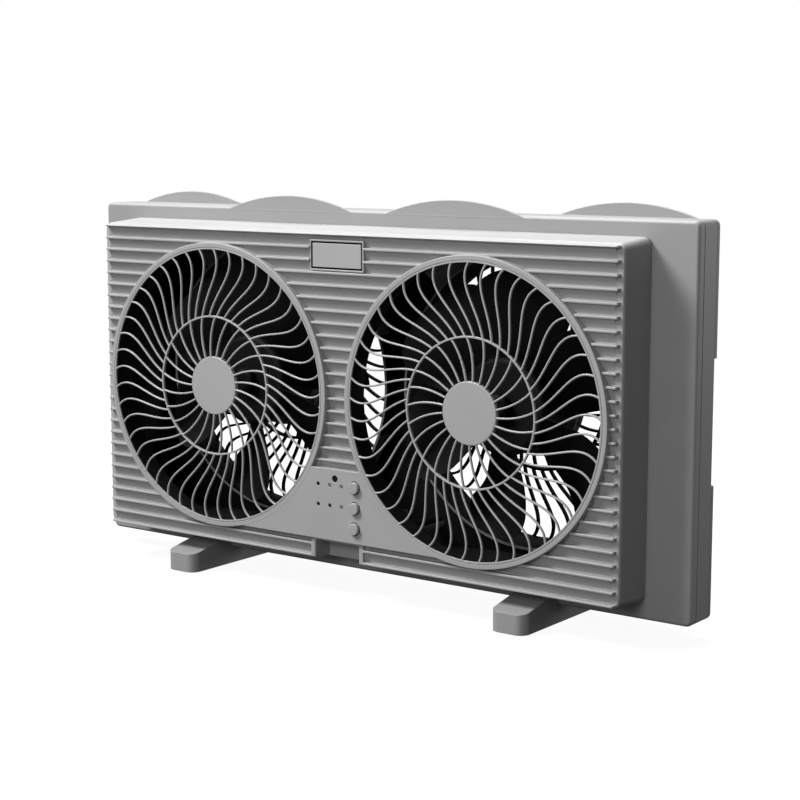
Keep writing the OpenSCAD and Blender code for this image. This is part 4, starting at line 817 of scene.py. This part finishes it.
def make_grille(side_name, front):
    side = SIDES[side_name]
    node = f"{'front' if front else 'rear'}_grille_{side_name}"
    low, high = limits(node)
    x = (low.x + high.x) / 2
    # The rear grilles are black as painted shade.
    material = grille_abs if front else shade_black
    width, depth = (SPOKE_W, SPOKE_D) if front else (REAR_SPOKE_W, REAR_SPOKE_D)
    front_y = low.y if front else high.y - depth
    grille = spoke_rings(node + "_moulding", side, material, width, depth)
    grille.data.transform(Matrix.Translation(Vector((x, front_y + depth / 2, AXIS_Z)) * MM)
                          @ Matrix.Rotation(math.radians(90), 4, "X"))
    middle = ring_profile(MID_RING_R - width / 2, MID_RING_R + width / 2, front_y - CLEAR,
                          front_y + depth + 0.3)
    if front:
        disc = [(0, low.y)] + arc(DISC_R - 1.0, low.y + 1.0, 1.0, -90, 0, 5)
        disc += arc(DISC_R - 0.35, low.y + 3.65, 0.35, 0, 90, 3) + [(0, low.y + 4)]
        ring = ring_profile(GRILLE_R - RING_W, GRILLE_R, low.y, low.y + RING_D, 0.15)
    else:
        disc = ring_profile(MOTOR_BORE_R, MOTOR_PLATE_R, high.y - MOTOR_PLATE_D, high.y, 0.8)
        ring = ring_profile(GRILLE_R - RING_W, GRILLE_R, high.y - RING_D, high.y)
    skirt_y = low.y + SKIRT_START if front else high.y - REAR_SKIRT_START
    skirt = ring_profile(GRILLE_R - SKIRT_IN, GRILLE_R - SKIRT_OUT, skirt_y, skirt_y + SKIRT_D)
    rings = build("grille_rings", *[lambda bm, p=p: add_lathe(bm, p, x, AXIS_Z, COLLAR_STEPS)
                                    for p in (disc, middle, ring, skirt)])
    join(grille, rings)
    bm = bmesh.new()
    bm.from_mesh(grille.data)
    bmesh.ops.recalc_face_normals(bm, faces=bm.faces)
    bm.to_mesh(grille.data)
    bm.free()
    soften(grille, 40)
    # The skirt's faces take the black material as painted shade.
    for face in grille.data.polygons:
        c = face.center / MM
        on_shade_skirt = c.y > low.y + RING_D + 0.1 and math.hypot(c.x - x, c.z - AXIS_Z) > GRILLE_R - 2
        face.material_index = int(on_shade_skirt)
    dress(grille, [material, shade_black], "root", node)


# ---- Fans ----

HUB_R, TIP_R = 41.2, 112.6
BLADE_MID_Y = COVER_BACK_Y + 18.6
ROOT_DEPTH, TIP_DEPTH = 41.2, 44.3
ROOT_SLANT, TIP_SLANT = 1.17, 1.98
SWEEP = (21.9, 25.3)
BLADE_T, CAMBER, TIP_CORNER = 1.9, 1.5, 14.0
BLADE_PHASE = 19.7


def blade_point(k, u, side):
    """k runs from the hub to the tip, u from the front edge to the rear edge."""
    r = HUB_R + k * (TIP_R - HUB_R)
    depth = ROOT_DEPTH + k * (TIP_DEPTH - ROOT_DEPTH)
    slant = ROOT_SLANT + k * (TIP_SLANT - ROOT_SLANT)
    past = max(0.0, r - TIP_R + TIP_CORNER)
    half = depth / 2 - TIP_CORNER + math.sqrt(max(TIP_CORNER ** 2 - past ** 2, 0))
    steep = math.sqrt(1 + slant ** 2)
    thick = side * BLADE_T / 2 * math.sqrt(max(1 - 0.9 * u ** 4, 0.02)) + CAMBER * (1 - u * u)
    turn = SWEEP[0] * k - SWEEP[1] * k * k - math.degrees(slant * u * half / r)
    a = BLADE_PHASE + turn + math.degrees(thick / steep / r)
    x, z = polar(r, a)
    return x, u * half + thick * slant / steep, z


def add_blade(bm, x, turn):
    """One swept blade as a closed skin of two curved faces."""
    rows, columns, root = 22, 18, 0.02    # root is the share of the blade that lies in the hub
    spin = math.radians(turn)
    rings = []
    for i in range(rows + 1):
        k = -root + (1 + root) * math.sin(math.pi / 2 * i / rows)
        us = [math.sin(math.pi / 2 * (2 * j / columns - 1)) for j in range(columns + 1)]
        around = [blade_point(k, u, 1) for u in us] + [blade_point(k, u, -1) for u in reversed(us)]
        rings.append([(x + px * math.cos(spin) - pz * math.sin(spin), BLADE_MID_Y + py,
                       AXIS_Z + px * math.sin(spin) + pz * math.cos(spin)) for px, py, pz in around])
    add_loft(bm, rings)


def make_fan(side_name):
    x = SIDES[side_name] * FAN_X
    hub_y, hub_l, edge = BLADE_MID_Y - 20.5, 41.0, 6.0
    bore, sleeve_r, sleeve_l = 4.05, 8.0, 20
    hub = [(bore, hub_y)] + arc(HUB_R - edge, hub_y + edge, edge, -90, 0, 8)
    hub += [(HUB_R, hub_y + hub_l - 0.4), (HUB_R - 0.4, hub_y + hub_l), (HUB_R - WALL, hub_y + hub_l)]
    hub += arc(HUB_R - edge, hub_y + edge, edge - WALL, 0, -90, 5)
    hub += [(sleeve_r, hub_y + WALL), (sleeve_r, hub_y + sleeve_l), (bore, hub_y + sleeve_l)]
    fan = build(f"fan_wheel_{side_name}", lambda bm: add_lathe(bm, hub, x, AXIS_Z, 96),
                *[lambda bm, k=k: add_blade(bm, x, 360 * k / BLADES) for k in range(BLADES)])
    soften(fan, 50)
    dress(fan, [fan_pp], f"rotor_{side_name}", f"fan_{side_name}")


# ---- Front frame and rear housing ----

def frame_loop(inset, y):
    return at_depth(soft_rect(-FRAME_X + inset, FRAME_X - inset, FRAME_Z0 + inset, FRAME_Z1 - inset,
                              FRAME_CORNER - inset * 0.9), y)


def duct_loop(outset, y):
    x = DUCT_X + outset
    return at_depth(soft_rect(-x, x, DUCT_Z0 - outset, DUCT_Z1 + outset, 0.4), y)


def rounded_edge(y, way, r):
    """Loops from the frame's flat face round its outer edge; way is the direction in from the face."""
    return [frame_loop(r - r * c, y + way * (r - r * d)) for c, d in arc(0, 0, 1, 90, 0, 6)]


def add_tab(bm, x, half, height, y0, y1):
    """An arc-shaped sash tab that rises out of the frame's edge, with softened rims."""
    soft = 0.7
    r = (half * half + height * height) / (2 * height)
    z = FRAME_Z1 + height - r

    def loop(inset, y):
        spread = math.acos((FRAME_Z1 - FRAME_EDGE - z) / (r - inset))
        turns = [spread * (k / 24 - 1) for k in range(49)]
        return [(x + (r - inset) * math.sin(t), y, z + (r - inset) * math.cos(t)) for t in turns]
    front = [loop(soft - u, y0 + soft - v) for u, v in arc(0, 0, soft, 90, 0, 3)]
    back = [loop(soft - u, y1 - soft + v) for u, v in arc(0, 0, soft, 0, 90, 3)]
    add_loft(bm, front + back)


def add_boss(bm, x, z, r, bore, y0, y1):
    """A screw boss: a tube with a softened mouth."""
    add_lathe(bm, [(bore, y0), (r - 0.3, y0), (r, y0 + 0.3), (r, y1), (bore, y1)], x, z, 32)


def add_rail_guides(bm, y0, y1):
    for z0 in RAIL_ZS:
        for z in (z0 + 3, z0 + 14):
            add_block(bm, RAIL_END_X + 3, DUCT_X - 0.5, y0, y1, z - 1, z + 1)
            add_block(bm, 0.5 - DUCT_X, -RAIL_END_X - 3, y0, y1, z - 1, z + 1)


def paint_duct_shade(obj):
    """The duct's walls take the black material as painted shade: what lies inside the outline and looks
    inward.
    """
    for face in obj.data.polygons:
        c = face.center / MM
        inside = abs(c.x) < DUCT_X + WALL + 0.3 and DUCT_Z0 - WALL - 0.3 < c.z < DUCT_Z1 + WALL + 0.3
        rear_face = face.normal.y > 0.5 and c.y > FLANGE_Y - 1
        if inside and looks_inward(face) and not rear_face and PLATE_Y + 0.2 < c.y < BACK_Y - 0.3:
            face.material_index = 1


def add_front_frame(bm):
    loops = [duct_loop(0.4, PLATE_Y)] + rounded_edge(PLATE_Y, 1, FRAME_EDGE)
    loops += [frame_loop(0, SEAM_Y - 0.6), frame_loop(0.6, SEAM_Y), frame_loop(WALL, SEAM_Y),
              frame_loop(WALL, DUCT_Y), duct_loop(0, DUCT_Y), duct_loop(0, PLATE_Y + 0.4)]
    add_loft(bm, loops, closed=True)
    for side in SIDES.values():
        add_tab(bm, side * FRONT_TAB[0], FRONT_TAB[1], FRONT_TAB[2], PLATE_Y, DUCT_Y)
    for x, z in FRAME_SCREWS:
        add_boss(bm, x, z, 4.2, 1.7, DUCT_Y - 1, FLANGE_Y - WALL)
    add_rail_guides(bm, DUCT_Y - 1, 2.7)


def make_front_frame():
    obj = build("front_frame_shell", add_front_frame)
    soften(obj, 50)
    paint_duct_shade(obj)
    dress(obj, [frame_abs, shade_black], "root", "front_frame")


def add_housing_rim(bm):
    loops = [frame_loop(WALL, SEAM_Y), frame_loop(0.6, SEAM_Y), frame_loop(0, SEAM_Y + 0.6)]
    loops += list(reversed(rounded_edge(FLANGE_Y, -1, FRAME_EDGE)))
    loops += [duct_loop(0, FLANGE_Y), duct_loop(0, DUCT_Y), duct_loop(WALL, DUCT_Y),
              duct_loop(WALL, FLANGE_Y - WALL), frame_loop(WALL, FLANGE_Y - WALL)]
    add_loft(bm, loops, closed=True)


def add_slot_cutters(bm):
    """The extenders' slots in the side walls."""
    for side in SIDES.values():
        x0, x1 = sorted((side * (FRAME_X - FRAME_CORNER), side * (FRAME_X + 3)))
        add_block(bm, x0, x1, SEAM_Y - 3, LIP_Y, FRAME_Z0 + WALL + 0.1, FRAME_Z1 - WALL - 0.1, 0.05)


def add_gap_cutters(bm):
    """The finger gaps in the rear lip."""
    for side in SIDES.values():
        x0, x1 = sorted((side * (FRAME_X - 10), side * (FRAME_X + 9)))
        middle = (FRAME_Z0 + FRAME_Z1) / 2
        add_loft(bm, [at_depth(soft_rect(x0, x1, middle - 50, middle + 50, 8.9), y)
                      for y in (LIP_Y - 2, FLANGE_Y + 3)])


def add_rear_box(bm):
    add_box_shell(bm, BACK_Y, FLANGE_Y - 0.5, REAR_DRAFT, 3.0, 3.0, WALL)


def add_rear_openings(bm):
    """The fans' openings, the gland's hole and the screws' holes, through the rear wall."""
    y0, y1 = BACK_Y - 6, BACK_Y + 6
    for side in SIDES.values():
        add_lathe(bm, plug_profile(OPENING_R, y0, y1), side * FAN_X, AXIS_Z, COLLAR_STEPS)
    add_lathe(bm, plug_profile(GLAND_R, y0, y1), 0, GLAND_Z, 48)
    mouth = 0.5
    for x, z in HOUSING_SCREWS:
        add_lathe(bm, [(0, y0), (HEAD_R, y0), (HEAD_R, BACK_Y - mouth), (HEAD_R + mouth, BACK_Y),
                       (HEAD_R + mouth, y1), (0, y1)], x, z, 32)


def add_screw_boss(bm, x, z):
    """A long boss with a seat for the screw's head, open to the rear."""
    seat, bore, outer = 6.0, 2.2, 5.5
    top = BACK_Y - WALL + 0.2
    profile = [(bore, PLATE_Y), (outer, PLATE_Y), (outer, top), (HEAD_R, top), (HEAD_R, seat), (bore, seat)]
    add_lathe(bm, profile, x, z, 32)


def make_rear_housing():
    rim = build("housing_rim", add_housing_rim)
    combine(rim, build("slot_cutters", add_slot_cutters), "DIFFERENCE")
    combine(rim, build("gap_cutters", add_gap_cutters), "DIFFERENCE")
    box = build("rear_box", add_rear_box)
    combine(box, build("rear_cutters", add_rear_openings), "DIFFERENCE")
    collars = build_collars("rear_collars", REAR_RIM_Y, -1, REAR_SLOPE_R)
    tabs = build("housing_tabs", *[
        lambda bm, s=s: add_tab(bm, s * REAR_TAB[0], REAR_TAB[1], REAR_TAB[2], FLANGE_Y - WALL, FLANGE_Y)
        for s in SIDES.values()], lambda bm: add_rail_guides(bm, 19.8, FLANGE_Y - WALL + 0.5))
    bosses = build("screw_bosses", *[lambda bm, p=p: add_screw_boss(bm, *p) for p in HOUSING_SCREWS])
    join(rim, box, collars, tabs, bosses)
    rim.name = "rear_housing_shell"
    soften(rim, 50)
    paint_duct_shade(rim)
    # The throats' walls behind the rear rims take the black material as painted shade.
    for face in rim.data.polygons:
        if in_throat(rim, face, 0, REAR_RIM_Y - 1.2):
            face.material_index = 1
    dress(rim, [frame_abs, shade_black], "root", "rear_housing")


# ---- Feet and extenders: CAD shapes with their edges rounded ----

def rounded_copy(node, width, segments):
    """A merged copy of a CAD node whose sharp edges are rounded."""
    bm = bmesh.new()
    bm.from_mesh(frame["nodes"][node].data)
    bmesh.ops.remove_doubles(bm, verts=bm.verts, dist=0.01 * MM)
    bmesh.ops.dissolve_limit(bm, angle_limit=math.radians(0.6), verts=bm.verts, edges=bm.edges)
    obj = object_from(bm, node + "_moulding")
    step = obj.modifiers.new("edges", "BEVEL")
    step.width, step.segments, step.limit_method = width * MM, segments, "ANGLE"
    step.angle_limit = math.radians(40)
    step.miter_outer = "MITER_ARC"
    flatten(obj)
    soften(obj)
    return obj


def make_side_pieces(side_name):
    for kind, body, width, segments in (("foot", "root", 1.8, 4),
                                        ("extender", f"extension_{side_name}", 0.4, 2)):
        node = f"{kind}_{side_name}"
        dress(rounded_copy(node, width, segments), [frame_abs], body, node)


# ---- Buttons and windows ----

def make_button(node, body):
    low, high = limits(node)
    z = button_z(node)
    front, edge, stem_r = low.y, 0.9, 3.0
    flange_r, flange_y, flange_t = BUTTON_R + 1.5, RIM_Y + WALL + 0.3, 1.3
    profile = [(0, front)] + arc(BUTTON_R - edge, front + edge, edge, -80, 0, 5)
    profile += [(BUTTON_R, flange_y), (flange_r, flange_y), (flange_r, flange_y + flange_t),
                (stem_r, flange_y + flange_t), (stem_r, high.y), (0, high.y)]
    button = build(node + "_cap", lambda bm: add_lathe(bm, profile, BUTTON_X, z, 64))
    soften(button)
    dress(button, [button_abs], body, node)


def make_windows():
    low, high = limits("indicator_windows")
    made = []
    for dim in (0, 1):
        made.append(build(f"windows_{dim}", *[
            lambda bm, x=x, z=z: add_lathe(bm, rod_profile(WINDOW_R, low.y + 0.25, high.y, 0.25), x, z, 32)
            for x, z, d in WINDOWS if d == dim]))
        for face in made[-1].data.polygons:
            face.material_index = dim
    join(*made)
    made[0].name = "indicator_light_pipes"
    soften(made[0])
    dress(made[0], [smoked_pc, frosted_pc], "root", "indicator_windows")
    receiver = build("receiver_lens", lambda bm: add_lathe(
        bm, rod_profile(RECEIVER_R, low.y + 0.25, high.y, 0.3), *RECEIVER, 48))
    soften(receiver)
    dress(receiver, [smoked_pc], "root", "receiver_window")


# ---- Making everything ----

make_cover()
make_badge_plate()
for side_name in SIDES:
    make_grille(side_name, True)
    make_grille(side_name, False)
    make_fan(side_name)
    make_side_pieces(side_name)
make_front_frame()
make_rear_housing()
for node in BUTTONS:
    make_button(node, node.replace("button_", "") + "_button")
make_windows()

CAD_FINISH = {
    "bellows": bellows_vinyl, "shaft": shaft_steel, "rotor_core": core_steel, "hub_cap": fan_pp,
    "bell_": bell_steel, "stator": stator_steel, "windings": winding_copper, "bush": bush_bronze,
    "gland": gland_rubber, "control_board": board_fr4, "tact_switches": switch_pbt, "plunger": switch_pbt,
}
for name, obj in frame["nodes"].items():
    finish = next((m for word, m in CAD_FINISH.items() if word in name), screw_steel)
    obj.data.materials.clear()
    obj.data.materials.append(finish)


# ---- Floor, light and camera ----

FLOOR_R, FLOOR_GLOW, FLOOR_DROP = 1.15, 0.94, 0.0005  # in metres, and the glow's strength


def make_floor():
    """A round pale floor that looks lit from below. The light that it adds is for the eye only, and its
    own colour is dark, so that the object's undersides stay dark."""
    bm = bmesh.new()
    bmesh.ops.create_circle(bm, cap_ends=True, segments=96, radius=FLOOR_R)
    floor = object_from(bm, "pale_floor")
    m, tree, shader = blank("white_light_table")
    path = add(tree, "ShaderNodeLightPath")
    shader.inputs["Base Color"].default_value = linear("#4a4a4a")
    shader.inputs["Roughness"].default_value = 0.9
    shader.inputs["Specular IOR Level"].default_value = 0.1
    glow = add(tree, "ShaderNodeEmission", {"Color": (1, 1, 1, 1), "Strength": FLOOR_GLOW})
    both = add(tree, "ShaderNodeAddShader", _0=shader.outputs[0], _1=glow.outputs[0])
    mix = add(tree, "ShaderNodeMixShader", _0=path.outputs["Is Camera Ray"], _1=shader.outputs[0],
              _2=both.outputs[0])
    tree.links.new(mix.outputs[0], tree.nodes["Material Output"].inputs["Surface"])
    floor.data.materials.append(m)
    floor.location.z = -FLOOR_DROP


def area_light(name, place, target, size, power):
    """A soft square light that looks at a point."""
    data = bpy.data.lights.new(name, "AREA")
    data.size, data.energy = size, power
    light = new_object(name, data)
    light.location = place
    light.rotation_euler = (Vector(target) - Vector(place)).to_track_quat("-Z", "Y").to_euler()


CAMERA_PLACE = (0.9346, -1.2324, 0.3926)
CAMERA_YAW, CAMERA_DROP = 36.36, 8.39
LENS = 81.75


def make_camera():
    data = bpy.data.cameras.new("photo_camera")
    data.lens, data.sensor_width, data.sensor_fit = LENS, 36.0, "HORIZONTAL"
    data.clip_start, data.clip_end = 0.01, 60
    camera = new_object("photo_camera", data)
    camera.location = CAMERA_PLACE
    camera.rotation_euler = (math.radians(90 - CAMERA_DROP), 0, math.radians(CAMERA_YAW))
    bpy.context.scene.camera = camera


def make_world():
    """A white surround for the eye, and a dim even light for the object."""
    world = bpy.data.worlds.new("studio")
    bpy.context.scene.world = world
    world.use_nodes = True
    tree = world.node_tree
    tree.nodes.clear()
    seen = add(tree, "ShaderNodeBackground", {"Color": (1, 1, 1, 1), "Strength": 1.0})
    fill = add(tree, "ShaderNodeBackground", {"Color": (1, 1, 1, 1), "Strength": 0.13})
    path = add(tree, "ShaderNodeLightPath")
    mix = add(tree, "ShaderNodeMixShader", _0=path.outputs["Is Camera Ray"], _1=fill.outputs[0],
              _2=seen.outputs[0])
    add(tree, "ShaderNodeOutputWorld", Surface=mix.outputs[0])


make_floor()
make_camera()
make_world()
bpy.context.scene.view_settings.view_transform = "Standard"
AIM = (0, 0, 0.17)
area_light("overhead_softbox", (-0.3, 0.45, 2.1), AIM, 1.2, 58)
area_light("front_left_softbox", (-1.25, -1.3, 2.15), AIM, 0.9, 113)
area_light("front_right_softbox", (0.5, -2.2, 0.95), AIM, 0.8, 20)
area_light("rear_right_softbox", (1.45, 1.7, 0.5), AIM, 0.7, 9)
